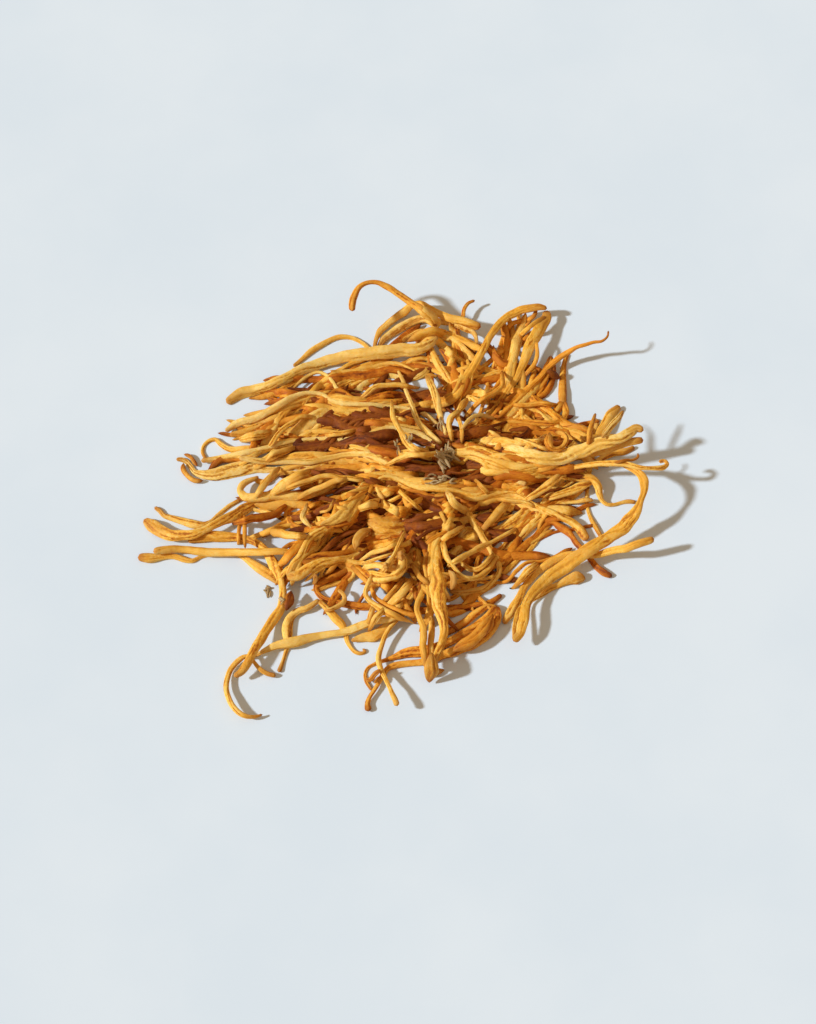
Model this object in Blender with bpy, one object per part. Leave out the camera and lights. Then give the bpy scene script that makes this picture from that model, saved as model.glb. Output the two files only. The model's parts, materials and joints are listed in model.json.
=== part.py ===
"""Dried cordyceps: one tangled clump of golden, wrinkled, curled fungus stalks lying on a surface.

Each stalk is a closed tube that bends in the plane of the view and rests on the floor and on the
stalks under it. Where stalks grow from one base or fork they are joined in one solid.
Units are metres, +Z is up, and the origin is under the middle of the clump, on the floor.
"""
import math

import bmesh
import bpy
import numpy as np
from mathutils import Matrix, Vector

# Driving dimensions
CLUMP_WIDTH = 0.158
CLUMP_WIDTH_PIXELS = 527.0
STALK_GAP = 0.00038
BEND_PER_METRE = 20.0
REST_DIP = 0.00025
CAP_LENGTH = 0.5
JOIN_REACH = 0.0024
JOIN_START = 0.0025
JOIN_LENGTH = 0.0065
THIN_STALK_PIXELS = 10.5
SAMPLE_PIXELS = 1.5
LEAST_REACH = 0.001
SCALE_HEIGHT = 0.004
TIP_HEIGHT = 0.0004
CONTACT_PARTS = 7
SETTLE_ROUNDS = 400
SETTLE_ERROR = 1e-6
OUTLINE_SIDES = 24
MILLIMETRES = 1000.0

# The view in which the stalks' routes are given: image size, focal length in pixels, look-down angle
VIEW_CENTRE = (408.0, 512.0)
VIEW_FOCAL = 2418.0
VIEW_ANGLE = math.radians(60.0)
PIXEL = CLUMP_WIDTH / CLUMP_WIDTH_PIXELS
VIEW_DISTANCE = VIEW_FOCAL * PIXEL

FORWARD = Vector((0.0, math.cos(VIEW_ANGLE), -math.sin(VIEW_ANGLE)))
RIGHT = Vector((1.0, 0.0, 0.0))
UP = Vector((0.0, math.sin(VIEW_ANGLE), math.cos(VIEW_ANGLE)))
EYE = FORWARD * -VIEW_DISTANCE

TONES = {
    "pale": (0.84, 0.55, 0.19),
    "gold": (0.76, 0.40, 0.08),
    "orange": (0.58, 0.24, 0.035),
    "brown": (0.33, 0.12, 0.02),
}
DRY_ROUGHNESS = 0.62


class Stalk:
    """A stalk's route in the view, as (across, down, width) in pixels, with its flatness and colour."""

    def __init__(self, name, tone, flat, route, lifts=()):
        self.name = name
        self.tone = tone
        self.flat = flat
        self.route = route
        self.lifts = lifts


class Clump:
    """Stalks that share one solid, joined at one place in the view."""

    def __init__(self, name, join, stalks):
        self.name = name
        self.join = join
        self.stalks = stalks


# The stalks from the floor upwards. A lift is (across, down, height in millimetres) of a raised place.
HEAP = [
    Stalk("shaded_cross", "brown", 0.75, [
        (501, 595, 5), (490, 603, 7), (470, 607, 8), (445, 609, 8), (415, 610, 8), (385, 607.5, 8),
        (352, 605, 8), (334, 602, 7), (321, 596.5, 6), (316, 588, 7), (324, 581, 11), (336, 575.5, 12),
        (347, 570.5, 11), (355, 565.5, 7)]),
    Clump("front_double", (498, 605.5), [
        Stalk("low", "orange", 0.75, [
            (495, 604.5, 5), (489, 606, 6), (482, 609.5, 7), (474.4, 614.5, 8), (466, 621.5, 8),
            (455, 628, 8), (446, 634, 6)]),
        Stalk("inner", "gold", 0.75, [
            (497, 607, 6), (490, 615.5, 9), (480, 623.5, 9), (465, 632.5, 9), (449.4, 641.3, 9),
            (434, 648, 11), (419, 651.5, 12), (404, 653, 10), (393, 657.5, 6), (384, 660.5, 4),
            (375, 664, 4), (368.5, 667.5, 3.5), (365.4, 673, 3.5), (365.6, 679.5, 4), (371.5, 690, 3)]),
        Stalk("outer", "gold", 0.75, [
            (500, 606, 6), (498, 617, 8), (492, 628, 10.5), (477.5, 641, 11), (460, 649.5, 10.5),
            (446, 654.8, 10), (430, 660.5, 8), (414, 663, 6.5), (396, 665.5, 6.5), (388, 668.5, 6),
            (382, 677, 6), (375.5, 688, 4.5), (369.5, 698, 4.5), (367.5, 704, 6), (368, 710, 7.5)])]),
    Clump("front_fork", (319, 599), [
        Stalk("dark_tip", "gold", 0.75, [
            (320, 598, 5), (314.2, 603.5, 6), (305.8, 608.8, 7), (297.5, 611.5, 8), (291, 616.5, 9),
            (287.5, 624.4, 11), (286.8, 634, 11), (287.5, 643, 7), (286, 652, 4.5), (283, 661, 4),
            (279, 671.5, 5)]),
        Stalk("hooked", "gold", 0.75, [
            (318, 600, 5), (324, 606, 5.5), (331, 613, 8), (337, 619.5, 9), (342.5, 626, 8),
            (346, 634, 6), (347.5, 641, 5), (351, 647.5, 4), (355.8, 652.5, 4), (361, 653.5, 4),
            (365.2, 651.5, 3.5), (363, 649, 3)])]),
    Stalk("lower_flat", "gold", 0.6, [
        (352, 640.5, 4), (358, 638.8, 7), (366, 637, 10), (373, 636, 12), (380, 632, 11), (386, 626, 8),
        (391, 618, 7), (395.5, 609, 7.5), (400, 600, 8), (406, 589, 8), (414, 577, 5)]),
    Stalk("front_ball_tip", "gold", 0.8, [
        (421, 555, 3), (415.4, 555.8, 3), (410.7, 559.2, 3.5), (409.2, 564.4, 3.5), (411.3, 572.7, 4),
        (416.5, 586.3, 5), (414.9, 592.5, 5), (411.3, 599.8, 5), (404, 610, 4), (396.7, 620.2, 4),
        (390, 627.5, 4.5), (385, 636.5, 5), (381.3, 647, 5), (378.6, 659, 6), (381, 670.2, 5.5),
        (385.2, 678, 5), (390.5, 690, 5), (395, 699.5, 6), (396.8, 705, 6)], [(397, 705, 4.5)]),
    Stalk("front_pale_flat", "pale", 0.4, [
        (404, 615, 4), (390, 619, 7.5), (374, 621.5, 8), (362, 625.4, 9), (351, 629.8, 9), (336, 633, 7.5),
        (320, 636, 8.5), (309, 638, 10), (299, 640, 12), (288, 642.3, 12), (277, 644.8, 9), (266, 650, 6),
        (258, 654.6, 4), (251, 658, 3)]),
    Stalk("front_tail", "gold", 0.75, [
        (275, 675.5, 5), (267, 673.5, 5), (260, 669, 5), (254.5, 662.5, 4), (249, 656, 4), (244, 656.7, 5),
        (238, 660.8, 6), (232, 668, 6), (228, 676.5, 6), (226, 686, 6), (228.2, 696.3, 6), (232.8, 706, 6),
        (239.5, 713, 6), (247, 716.6, 5), (254.5, 716.8, 4), (262, 714.7, 2.5)], [(232.8, 706, 2.4)]),
    Stalk("left_low_end", "gold", 0.75, [
        (139.5, 557.5, 8), (149, 558, 10), (161, 557, 7), (173, 556.8, 6), (183, 559.3, 6),
        (192.5, 561, 5), (200, 557.5, 4), (214, 554, 4), (230, 553, 4), (241, 556, 5), (249, 560.5, 7),
        (256, 566, 9), (264, 572, 10), (271.5, 577, 9), (277, 582, 6)]),
    Stalk("left_leg", "gold", 0.7, [
        (189, 541, 6), (200, 538, 11), (213, 536.5, 12), (229, 537, 10.5), (244, 539, 8), (257, 543.5, 8),
        (265, 550, 9), (271, 558.5, 11), (276.5, 568, 12), (280.5, 577, 10), (282.7, 587, 8),
        (283, 597, 8.5), (280.5, 608, 9.5), (275, 617, 11), (267, 629.5, 10), (259, 642.5, 10),
        (252, 654.5, 9), (246.5, 664, 9), (241, 671.5, 8), (235, 675.8, 6)]),
    Stalk("left_lower_long", "gold", 0.75, [
        (155, 551.5, 8), (166, 549.3, 8), (182, 549, 7.5), (199, 551.5, 9), (224, 552.5, 9), (250, 552, 8),
        (273, 552, 7.5), (292, 552.3, 6.5), (304, 555, 6), (313, 555.8, 6), (322, 552, 6.3), (331, 546, 7),
        (340, 540.8, 6), (348, 533, 4.5), (355, 523.5, 4)]),
    Stalk("left_small_long", "gold", 0.75, [
        (155, 507.5, 4), (159.5, 510.5, 5), (164, 515.5, 5), (172, 518, 6), (182, 521, 7), (193, 524.5, 9),
        (203, 525.3, 8), (210.5, 522, 5), (218, 515, 4.5), (228, 507, 4.5), (240, 499.5, 4)]),
    Stalk("left_thick", "gold", 0.5, [
        (145, 520.5, 8), (151, 525.5, 13), (160, 531, 13), (170, 535, 12), (182, 535.3, 11), (193, 534, 10),
        (204, 530, 8), (214, 525, 8.5), (224, 520, 10), (235, 515.3, 12), (246, 509, 11.5), (259, 501, 8)]),
    Stalk("inner_loop", "orange", 0.75, [
        (370, 484, 5), (360, 486.3, 7), (350, 490.5, 8), (340, 498.7, 8), (332, 505.5, 7), (325, 510.5, 5),
        (321, 517, 4.5), (316, 524.3, 5), (308, 528.4, 6), (299, 527.9, 7), (291.5, 524.3, 7),
        (287, 517, 8), (289, 509.5, 7), (296, 504.5, 6.5), (303, 499.5, 5)]),
    Clump("base_clump", (280, 587), [
        Stalk("middle", "gold", 0.75, [
            (281.5, 586, 7), (288.8, 575.8, 9), (297, 568.5, 9), (303.3, 562.3, 8), (309, 554, 7),
            (313, 545, 8), (317.5, 538, 9), (326, 534.6, 9), (335, 531.5, 9), (344, 526.3, 8),
            (353, 520.5, 8), (361, 516, 7), (369, 513, 5)]),
        Stalk("right", "pale", 0.75, [
            (280, 589, 7), (288.5, 583.5, 9), (298, 575.8, 11), (308.5, 568.5, 12), (319, 564, 12),
            (330, 562.2, 11), (340, 560.7, 10), (349, 558.3, 9), (357, 554.8, 8), (364.5, 550, 8),
            (370.5, 544, 8), (374.5, 537, 7), (377, 524, 4)]),
        Stalk("left", "gold", 0.75, [
            (279, 586, 7), (282, 579, 8), (287, 571.5, 8), (293, 565.3, 8), (299.2, 558, 8),
            (303.3, 549.8, 8), (307.8, 541.3, 8), (314, 535, 8), (322.5, 529.8, 7), (331.5, 525.5, 7),
            (341, 522, 6.5), (350, 518, 7), (358.5, 514, 7), (370, 509.5, 5)])]),
    Stalk("left_u_bend", "gold", 0.75, [
        (258, 477, 4), (250.5, 480.3, 6), (243.3, 484.5, 8), (240.3, 490.7, 8.5), (244, 496, 9),
        (254, 497.3, 10), (266, 496, 12), (280, 495.6, 11), (295, 495.4, 11), (306, 494.5, 9),
        (318, 492.3, 7), (332, 487, 5), (343, 482, 4)]),
    Stalk("left_flat_long", "pale", 0.35, [
        (177, 459, 4), (182, 459.5, 5), (186.3, 461.5, 5), (190.5, 466.5, 5), (195, 472.5, 6),
        (202, 474.5, 9), (222, 473.8, 14), (233, 471, 15), (245, 468.7, 15), (257, 468.5, 11),
        (268, 470, 7), (300, 467, 7), (320, 468, 7), (347, 469.5, 8), (361, 470, 9), (374, 470.3, 8),
        (386, 472, 5)]),
    Stalk("upper_left_thin_arch", "gold", 0.8, [
        (294, 366, 4), (302, 359.5, 4.5), (311, 351.5, 6), (321, 345, 6), (332, 339.3, 5.5),
        (342, 336.7, 5.5), (351, 337.7, 4.5), (360, 341.5, 4), (370, 350, 4), (378, 357, 3)]),
    Stalk("upper_left_pointed", "orange", 0.75, [
        (249, 398.5, 2), (261, 397.5, 6), (274, 394, 7), (286, 388, 8), (297, 381.5, 6.5), (310, 379.5, 5),
        (322, 377.3, 4), (341, 369.5, 4.5), (360, 362, 4), (380, 356, 4)]),
    Stalk("back_small_tip", "orange", 0.8, [
        (474.3, 300.5, 3), (468.5, 303, 3.5), (464.5, 308.5, 4), (463, 316, 4), (459, 325, 4.5),
        (457.5, 333, 5), (461, 340, 5), (468.5, 346, 5), (475, 353, 5)], [(474.3, 300.5, 3.3)]),
    Stalk("back_pale_curl", "pale", 0.75, [
        (379, 347, 5), (384, 339.5, 7), (391.5, 333.3, 8), (400, 328, 9), (409, 323.3, 9), (420, 319.7, 9),
        (431, 319.3, 8), (443, 322, 7), (455, 323.5, 8), (466, 328, 8), (474, 333, 6), (476.5, 341, 4),
        (475, 350, 4)]),
    Stalk("back_inner_arch", "gold", 0.75, [
        (402, 340.5, 6), (411, 335.3, 6), (420, 332, 7), (429, 332, 6), (437, 335, 6.5), (444, 337, 7),
        (451, 338.5, 7), (458.5, 343.5, 7.5), (466, 351, 8), (473, 358.5, 9), (478, 365.5, 6)]),
    Stalk("back_stub", "gold", 0.75, [
        (374.5, 347, 4), (376.5, 338.5, 5), (380.5, 331, 7), (388, 324, 7.5), (396.5, 317.5, 8),
        (405, 311.5, 9), (413, 305, 7), (421, 303.5, 6), (429, 308, 6.5), (439.5, 314, 7.5),
        (450, 318.5, 8.5), (460, 320.5, 9), (470, 323.5, 9.5), (479, 326.5, 8.5)]),
    Stalk("back_hook", "orange", 0.8, [
        (352.5, 310, 6.5), (352.7, 304, 7.5), (354, 297, 7.5), (356.6, 290.5, 6.5), (361.5, 285.3, 5.5),
        (368.5, 282.6, 4.8), (377, 282.5, 5), (386, 286, 6.5), (397, 292.7, 6.5), (408, 300.3, 7.5),
        (416, 306, 8), (423, 311, 10)], [(352.5, 310, 8.0), (368.5, 282.6, 12.6)]),
    Stalk("left_low_flared", "gold", 0.75, [
        (231, 434.7, 6), (243, 432.5, 8), (253, 428, 8), (264, 422, 7), (274, 415.7, 6), (284, 408, 6),
        (296, 400.5, 6), (309, 395, 6), (322, 390, 8), (334, 384, 9), (346, 377, 9), (357, 371, 9),
        (369, 365.8, 8), (381, 361.5, 7), (393, 357.5, 5)]),
    Stalk("left_curved", "gold", 0.75, [
        (250, 448, 5), (262, 444.5, 7), (270, 437, 9), (275, 427, 9.5), (281, 417, 10), (289, 408.5, 9),
        (300, 402, 8), (313, 398.5, 7), (324, 396.5, 6), (337, 390.7, 7), (350, 384, 7), (362, 377.5, 6),
        (373, 371.5, 5), (386, 368.5, 5), (400, 369, 5), (414, 370.7, 5), (425, 367.7, 5),
        (429, 361.5, 5), (427.5, 354, 4)]),
    Stalk("left_loop", "gold", 0.75, [
        (205.5, 459, 3.5), (202.5, 452.5, 4), (204, 445.5, 4), (209.5, 440.7, 4.5), (215, 439.5, 5),
        (221, 444, 5.5), (228, 448.3, 6), (237, 450, 7.5), (248, 449.3, 8), (260, 447.5, 6)]),
    Stalk("left_broad", "pale", 0.35, [
        (268, 452, 4), (276, 447, 7), (285, 440, 9), (295, 433, 12), (306, 425.7, 16), (318, 417.7, 18),
        (330, 411, 15), (342, 404, 10), (352, 396.5, 7), (361, 388, 8), (371, 381, 8), (381, 376.5, 7),
        (392, 376, 6), (403, 378.7, 6), (414, 378, 6), (423, 373.8, 6), (430, 366.5, 6), (436, 358, 4)]),
    Stalk("middle_under", "orange", 0.75, [
        (305, 437, 4), (318, 431, 5), (332, 428, 5), (350, 427, 5), (369, 419.5, 5), (386, 411, 5),
        (402, 404, 5), (420, 398, 6), (431, 397.5, 6), (441, 396, 6), (451, 393, 4)]),
    Stalk("pale_cross", "pale", 0.45, [
        (293, 389, 3), (300, 382, 4), (309, 375.5, 4), (318, 372.3, 4), (326, 375, 4), (332, 381, 4),
        (336.5, 388.5, 4), (343, 397, 5.5), (351.5, 406, 8), (359, 411.7, 9), (372.5, 424, 10),
        (378, 430, 9), (386.5, 445, 9), (389.5, 452, 8), (388, 459.5, 7), (383, 468, 8), (377.5, 474.5, 9),
        (371, 481, 10), (357, 497.5, 12), (349.2, 508, 13), (341, 516, 12), (333, 520.5, 9),
        (326, 522.7, 6), (320.5, 525, 3)]),
    Stalk("top_hanging_thin", "gold", 0.8, [
        (517.5, 313, 4), (519.3, 322, 4.5), (517.3, 330.5, 5), (512.5, 338.5, 5), (507.3, 345, 5),
        (501.5, 351.3, 6), (496, 356.8, 6), (489.6, 361.5, 5), (481.5, 368.3, 4.5), (474, 375, 3.5)]),
    Stalk("top_dark", "brown", 0.75, [
        (486.5, 343.5, 6), (490.5, 349.5, 8.5), (496, 357, 9), (503, 363.3, 9), (512.5, 365, 8),
        (522, 366.7, 7), (532, 369, 7), (540, 371.5, 7), (544, 378, 7), (542.7, 388, 7), (539, 397, 7),
        (535.5, 406, 6), (532, 415, 5), (526, 422.5, 5), (518, 427.5, 5), (510, 431.7, 5), (503, 436, 4)]),
    Stalk("centre_diagonal", "gold", 0.7, [
        (428.5, 343, 5), (432.5, 352, 6), (436.5, 361, 7.5), (443, 371, 8), (449.5, 380, 8),
        (455, 388, 8), (461.5, 391.3, 6), (470, 386.5, 5.5), (480, 380.3, 7), (489.6, 376, 7.5),
        (499, 373, 7.5), (506.5, 373, 8), (511.5, 375.8, 6)]),
    Stalk("top_flat", "gold", 0.4, [
        (547, 312, 9), (546, 318, 11), (543, 323, 12), (537.5, 332, 13), (531.5, 342.5, 12),
        (527, 353, 11), (523, 363.3, 9), (518.8, 373.8, 7), (513.5, 382.3, 6), (507.5, 390.4, 6.5),
        (502, 399, 7), (496.5, 407, 7), (487, 416.5, 6), (477.5, 426, 6), (467, 433, 6), (460, 437, 4)],
        [(531, 342, 4.5)]),
    Stalk("top_arch", "gold", 0.8, [
        (420, 410.5, 4), (430, 406.5, 6), (440.5, 404.5, 8), (451, 400, 9), (458.5, 392.5, 9),
        (463, 383, 9), (468, 374.5, 9), (474, 365.5, 8.5), (479.7, 356, 8), (484.6, 346.5, 7.5),
        (489.7, 336.5, 7.5), (496, 328, 8), (503, 320.7, 8), (511.5, 314.4, 8.5), (521, 310.2, 8.5),
        (530.5, 308, 8), (539, 307.3, 7), (546, 308, 5)]),
    Stalk("right_cut_short", "gold", 0.75, [
        (596.3, 419.6, 7), (594.5, 430, 8.5), (593, 441.5, 8), (592, 455, 6), (590, 468.5, 5),
        (588, 482, 4), (586.8, 495, 4), (587, 506, 4), (589.5, 515, 4), (593, 522.5, 5), (597, 530, 5),
        (601.5, 538, 4)]),
    Stalk("right_fan", "gold", 0.75, [
        (543.5, 502, 4), (551, 495.5, 5), (560.5, 489, 6), (571, 482, 7), (582, 474.5, 6), (592, 465.5, 6),
        (602, 458, 7), (613, 453.2, 7), (623.5, 451.7, 7), (634, 447.5, 5)]),
    Stalk("right_cut_flat", "gold", 0.6, [
        (506, 443, 4), (513, 439, 5), (521, 433.8, 6), (529.5, 428.8, 6), (541, 426.3, 6), (555, 429, 7),
        (568.5, 431, 8), (579, 434, 8), (588, 437.5, 7), (596, 437, 7), (602, 429, 9), (607.7, 419.6, 10),
        (613, 412.3, 10), (619.2, 407, 7)]),
    Clump("right_fork", (563.5, 401), [
        Stalk("upright", "orange", 0.75, [
            (567.5, 354, 4), (565, 361, 5), (563.3, 370, 6), (563, 382, 7.5), (563, 393, 9),
            (561, 401.5, 10), (557.5, 409.5, 8.5), (553, 415.5, 7), (548, 421, 4.5)]),
        Stalk("low", "pale", 0.75, [
            (563.5, 400, 6), (566, 411, 7.5), (562.5, 419, 7), (552, 422.7, 6), (540, 422.7, 6),
            (528, 422, 5), (515.5, 421, 5), (505, 421.7, 6), (495, 424.7, 8), (486, 429.3, 7),
            (477, 433.3, 5), (469, 437, 4)])]),
    Stalk("right_thin_tip", "orange", 0.8, [
        (608.3, 331, 2), (607.6, 336.3, 2.5), (602, 341, 3), (594, 342.2, 3.5), (585.4, 344.6, 4),
        (577, 347, 4.5), (568.8, 351.7, 6), (560.4, 357.2, 6), (553, 363.3, 6), (547, 369, 6),
        (541, 376.5, 6), (533.5, 384, 6), (526.5, 391, 8), (520, 397.3, 10), (512.5, 404, 8),
        (505, 411, 6), (499, 418, 4)], [(608, 331, 9.7)]),
    Stalk("left_long_thin", "pale", 0.75, [
        (202, 460.5, 5), (213, 459.5, 6), (228, 457, 7), (243, 453.5, 7), (260, 449.7, 6), (280, 445, 6),
        (300, 441.5, 6), (320, 440, 6.5), (341, 440, 6.5), (357, 438.5, 6), (368, 434.7, 6), (378, 431, 6),
        (388, 428.5, 6), (398.5, 428.3, 6.5), (409, 430.4, 7), (419.4, 433.5, 8), (428, 438, 8),
        (435.5, 443.3, 7), (442, 448.5, 6), (448, 453, 5)]),
    Stalk("upper_left_thick", "pale", 0.6, [
        (228, 402, 8), (240, 394, 11), (253, 390.5, 11), (267, 386.5, 10), (282, 380, 10.5),
        (300, 370.5, 10.5), (320, 363.5, 11.5), (340, 357.7, 12), (360, 354, 13), (380, 352, 14),
        (400, 350.5, 14), (418, 348, 12.5), (429, 344, 10), (437, 337, 5)]),
    Stalk("left_flared_long", "pale", 0.75, [
        (226, 430.5, 5), (234.6, 424.5, 8), (245, 421, 8), (256, 418, 8), (267, 412.3, 8),
        (282.5, 403.3, 8), (296, 396.3, 7), (309, 393, 5), (321, 394.3, 5), (331, 400, 5),
        (341.3, 403.3, 5), (357, 404.4, 5), (373, 405, 5), (389, 407, 5), (404, 408.6, 5),
        (415, 410.3, 5), (423, 413, 5), (430, 418, 5), (437, 425.2, 5), (443.3, 432.5, 5),
        (448.7, 439, 5), (453.5, 446, 4)]),
    Stalk("thick_cut_stub", "gold", 0.75, [
        (368.5, 521.5, 10), (374, 522.5, 15), (384, 526.7, 17), (395, 529, 15), (406, 528, 13.5),
        (416, 524.8, 12), (425, 522.5, 10.5), (437, 520, 7)]),
    Stalk("brown_under", "brown", 0.75, [
        (502.5, 566.5, 5), (512.5, 555.5, 9), (523, 547.5, 8), (535.5, 536.5, 7), (544.5, 526.5, 6),
        (552, 523, 6), (560, 527, 8), (567, 531.8, 8), (571.8, 536.5, 6), (575.5, 542.5, 6),
        (582, 549.5, 6), (590, 559, 6), (598.3, 568.5, 6.5), (604.6, 572.9, 7), (611, 576, 5.5)]),
    Stalk("middle_pale", "pale", 0.75, [
        (459.5, 542.5, 5), (463, 534.5, 9), (469.5, 528, 9), (481, 518, 7.5), (489, 510.2, 8),
        (497, 502.3, 7), (505.5, 496.5, 6), (514, 494.5, 6), (522, 492, 6.5), (530.5, 488, 7),
        (541, 482.5, 8), (550, 477, 7), (558, 472, 5)]),
    Stalk("middle_broad", "gold", 0.6, [
        (455, 553.3, 7), (465, 547.7, 7), (475.5, 541.7, 7), (486, 536.5, 8), (497.5, 531.3, 10),
        (508.8, 525.8, 11.5), (519.2, 518.5, 14), (527.5, 512.3, 13), (534, 508, 10), (540.5, 504, 6)]),
    Stalk("middle_right", "gold", 0.75, [
        (502, 555, 5), (508.8, 547.7, 7), (516, 540.4, 8), (523.5, 534, 8), (530.8, 526, 9),
        (539, 518.7, 9), (547.3, 512, 8), (555, 507, 6), (565, 503.3, 4), (578, 501.6, 4.5),
        (585, 500.2, 6), (592.5, 500.3, 4.5)]),
    Stalk("diagonal_curl", "gold", 0.75, [
        (455.5, 488.5, 5), (461, 499, 6), (468, 513, 7), (475.5, 526, 7), (484, 539.7, 7), (492, 553, 7),
        (497.5, 562, 7), (499.5, 569.5, 6), (497, 576.3, 5.5), (491.5, 582.5, 5.5), (484, 588.5, 7),
        (475.4, 592, 8), (466, 593.3, 7), (456.5, 593, 5.5), (450, 591.5, 4)]),
    Stalk("twisted_thin", "orange", 0.75, [
        (351.5, 566, 5), (357, 571.3, 6), (363, 577.5, 6), (368.7, 583.5, 5), (372, 590, 4.5),
        (375, 597, 5), (381.5, 602.3, 5), (390, 607, 5), (399, 611, 5), (407, 613.7, 5), (415, 615, 6),
        (420.5, 613, 4)]),
    Stalk("front_left_strand", "gold", 0.75, [
        (430.3, 491, 5), (429, 500.8, 6), (428.4, 511.3, 6.5), (427.9, 521.7, 6), (425.7, 530.5, 6),
        (421.7, 538.3, 6), (418.8, 545.5, 5.5), (418.7, 554, 5.5), (420.7, 563.3, 6), (424, 572, 6),
        (428, 580, 6), (432, 587, 4)]),
    Clump("front_clump", (430, 680), [
        Stalk("middle", "gold", 0.75, [
            (430, 680, 5), (430.5, 670, 6), (430.8, 660, 6), (431, 648, 6.5), (431.7, 635.8, 7),
            (431.8, 622, 6), (430, 611, 4)], [(430, 680, 4.0)]),
        Stalk("left", "gold", 0.75, [
            (429.5, 680, 8), (427, 671.5, 7), (425, 664, 6), (423.8, 656, 7), (422.7, 646.5, 7.5),
            (423.2, 636, 8), (423.3, 626.5, 7), (419.5, 618.3, 6.5), (416.7, 611, 6.5), (417.7, 603, 6.5),
            (421.5, 595, 7), (424, 586, 6), (429.5, 576, 5)]),
        Stalk("broad", "pale", 0.6, [
            (430.5, 681, 7.5), (432.3, 674, 7), (433, 666, 7), (435, 658.5, 7), (438.5, 650.5, 8),
            (442, 642.5, 8), (444, 634, 9), (443.7, 623.5, 10), (441, 611, 13), (439.3, 600, 15),
            (438.7, 590, 17), (438.3, 580, 18), (437, 570, 17), (435.5, 560, 15), (434.3, 550, 14),
            (434, 540, 12), (435, 530, 9), (436, 522, 6), (435.2, 514, 5), (434.3, 504, 5),
            (433, 492.5, 4)])]),
    Stalk("right_torn", "orange", 0.6, [
        (462, 472, 5), (476.5, 474.8, 7), (488.5, 478.5, 9), (500.8, 481.7, 10), (511.5, 484.3, 11),
        (521.5, 486.3, 9), (528.5, 484.7, 7.5)]),
    Stalk("lower_long", "gold", 0.75, [
        (383.5, 499, 4), (378, 490, 4), (376.8, 483, 4), (380.8, 478.5, 5), (388, 477.3, 6),
        (397, 479, 6), (410, 485, 6.5), (424, 488.4, 7), (438, 489.3, 7), (450, 490, 7), (459.5, 492.7, 8),
        (468, 495.7, 9), (477, 497.2, 9), (488.5, 495.8, 9), (501, 494, 8), (513.5, 494, 6), (522, 497, 5),
        (530.5, 502.2, 5), (539.5, 507.3, 5.5), (548, 511.5, 7), (556, 514.7, 7), (565.5, 518.8, 8),
        (574.5, 524, 9), (581.5, 531, 10), (586, 539, 9)]),
    Stalk("middle_long", "pale", 0.75, [
        (240, 458, 5), (252, 460, 6), (270, 461.5, 6), (290, 462, 5.5), (312, 461.8, 6), (331, 457.5, 6),
        (342, 455.3, 6), (352, 454.3, 6.5), (362, 454, 6.5), (372.5, 456, 6), (381, 460, 6),
        (389.5, 465, 7), (398, 469.7, 7), (409, 472, 7.5), (424.6, 472, 8), (440, 471.6, 8.5),
        (456, 471.7, 6), (480, 472.3, 6), (503, 472.3, 6), (510, 475.2, 6), (517, 480.3, 6),
        (526, 483.3, 6)]),
    Stalk("right_curved_thin", "gold", 0.75, [
        (555, 478, 5), (567, 476.9, 7), (578.5, 475.8, 8), (588, 477.5, 9), (594.5, 481.5, 9),
        (598.3, 487.5, 8), (599.6, 494, 7), (602, 500.3, 5), (607, 504.2, 4.5), (613.5, 504.5, 4),
        (621.5, 502.4, 4), (629, 501.4, 4.5), (635, 502, 4)]),
    Stalk("right_stub", "gold", 0.75, [
        (652.8, 539.3, 7), (646, 541.3, 8), (636, 545, 8.5), (626, 548.3, 8.5), (615.5, 549.8, 8),
        (606.7, 551.9, 8), (598.3, 554.7, 6.5), (589, 556, 5), (579, 554.3, 5), (569, 554.5, 7),
        (559, 558.5, 9), (549.5, 563, 9), (540.5, 569.4, 7.5), (532, 577.7, 7), (524, 587, 7),
        (519.3, 597, 8), (513.8, 607, 9), (508, 616.3, 9), (504.5, 623, 6)], [(652, 539, 8.0)]),
    Clump("right_arch", (514, 644), [
        Stalk("lobe", "gold", 0.6, [
            (514, 644, 5), (513.3, 638, 5), (514.2, 629, 5), (516, 619, 5), (519.5, 610, 5),
            (526, 603.5, 4), (534, 599.3, 4), (542, 594.3, 5), (550.5, 588.5, 7), (560, 584, 7),
            (569.5, 579.7, 10.5), (578, 577.7, 13), (584, 578.5, 7)], [(514, 644, 4.2)]),
        Stalk("arch", "pale", 0.45, [
            (515, 644.5, 5), (519.5, 635, 9), (522.5, 625, 11), (524.5, 615, 11), (526.5, 605, 10),
            (530.5, 596, 11), (538, 587.5, 12), (548, 577.7, 14), (560.8, 568.5, 15), (575, 559, 15),
            (590, 549.3, 14), (608, 538, 13), (623, 527, 14), (630.5, 518.5, 13), (636.5, 509.5, 10),
            (640.3, 501.5, 6.5), (643, 494.5, 6.5), (644.2, 487, 8.5), (643.8, 480, 9.5), (640.5, 474, 8),
            (635, 470, 7), (628, 466.3, 7), (618, 462.5, 5)], [(644, 482, 10.0)])]),
    Stalk("right_ring_tip", "gold", 0.8, [
        (489, 460.5, 3.5), (497, 464.6, 4), (505, 468.7, 4), (514, 473, 5), (530, 475.3, 5),
        (550.8, 472.8, 5), (571.7, 468.2, 5.5), (592, 464.5, 6), (613, 463.3, 6.5), (631, 465.3, 6),
        (641, 467.7, 5), (650, 468.3, 4.5), (657, 468.3, 5), (663.5, 467.5, 5.5), (667.3, 463.8, 5),
        (664.5, 460.7, 4.5), (659.5, 461.5, 4)], [(663, 463, 10.0)]),
    Stalk("right_second", "gold", 0.75, [
        (449, 452.5, 5), (457, 453.8, 7), (467, 453.3, 8), (477, 455, 8), (487, 459.3, 8.5),
        (498, 463, 9), (509, 465.3, 9), (520, 467.3, 9), (531, 468, 8), (546, 465.5, 7), (562, 461, 7),
        (582, 456.5, 7), (602.5, 451, 8), (613, 447.7, 8), (624, 444.5, 8), (634, 441.5, 8),
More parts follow.
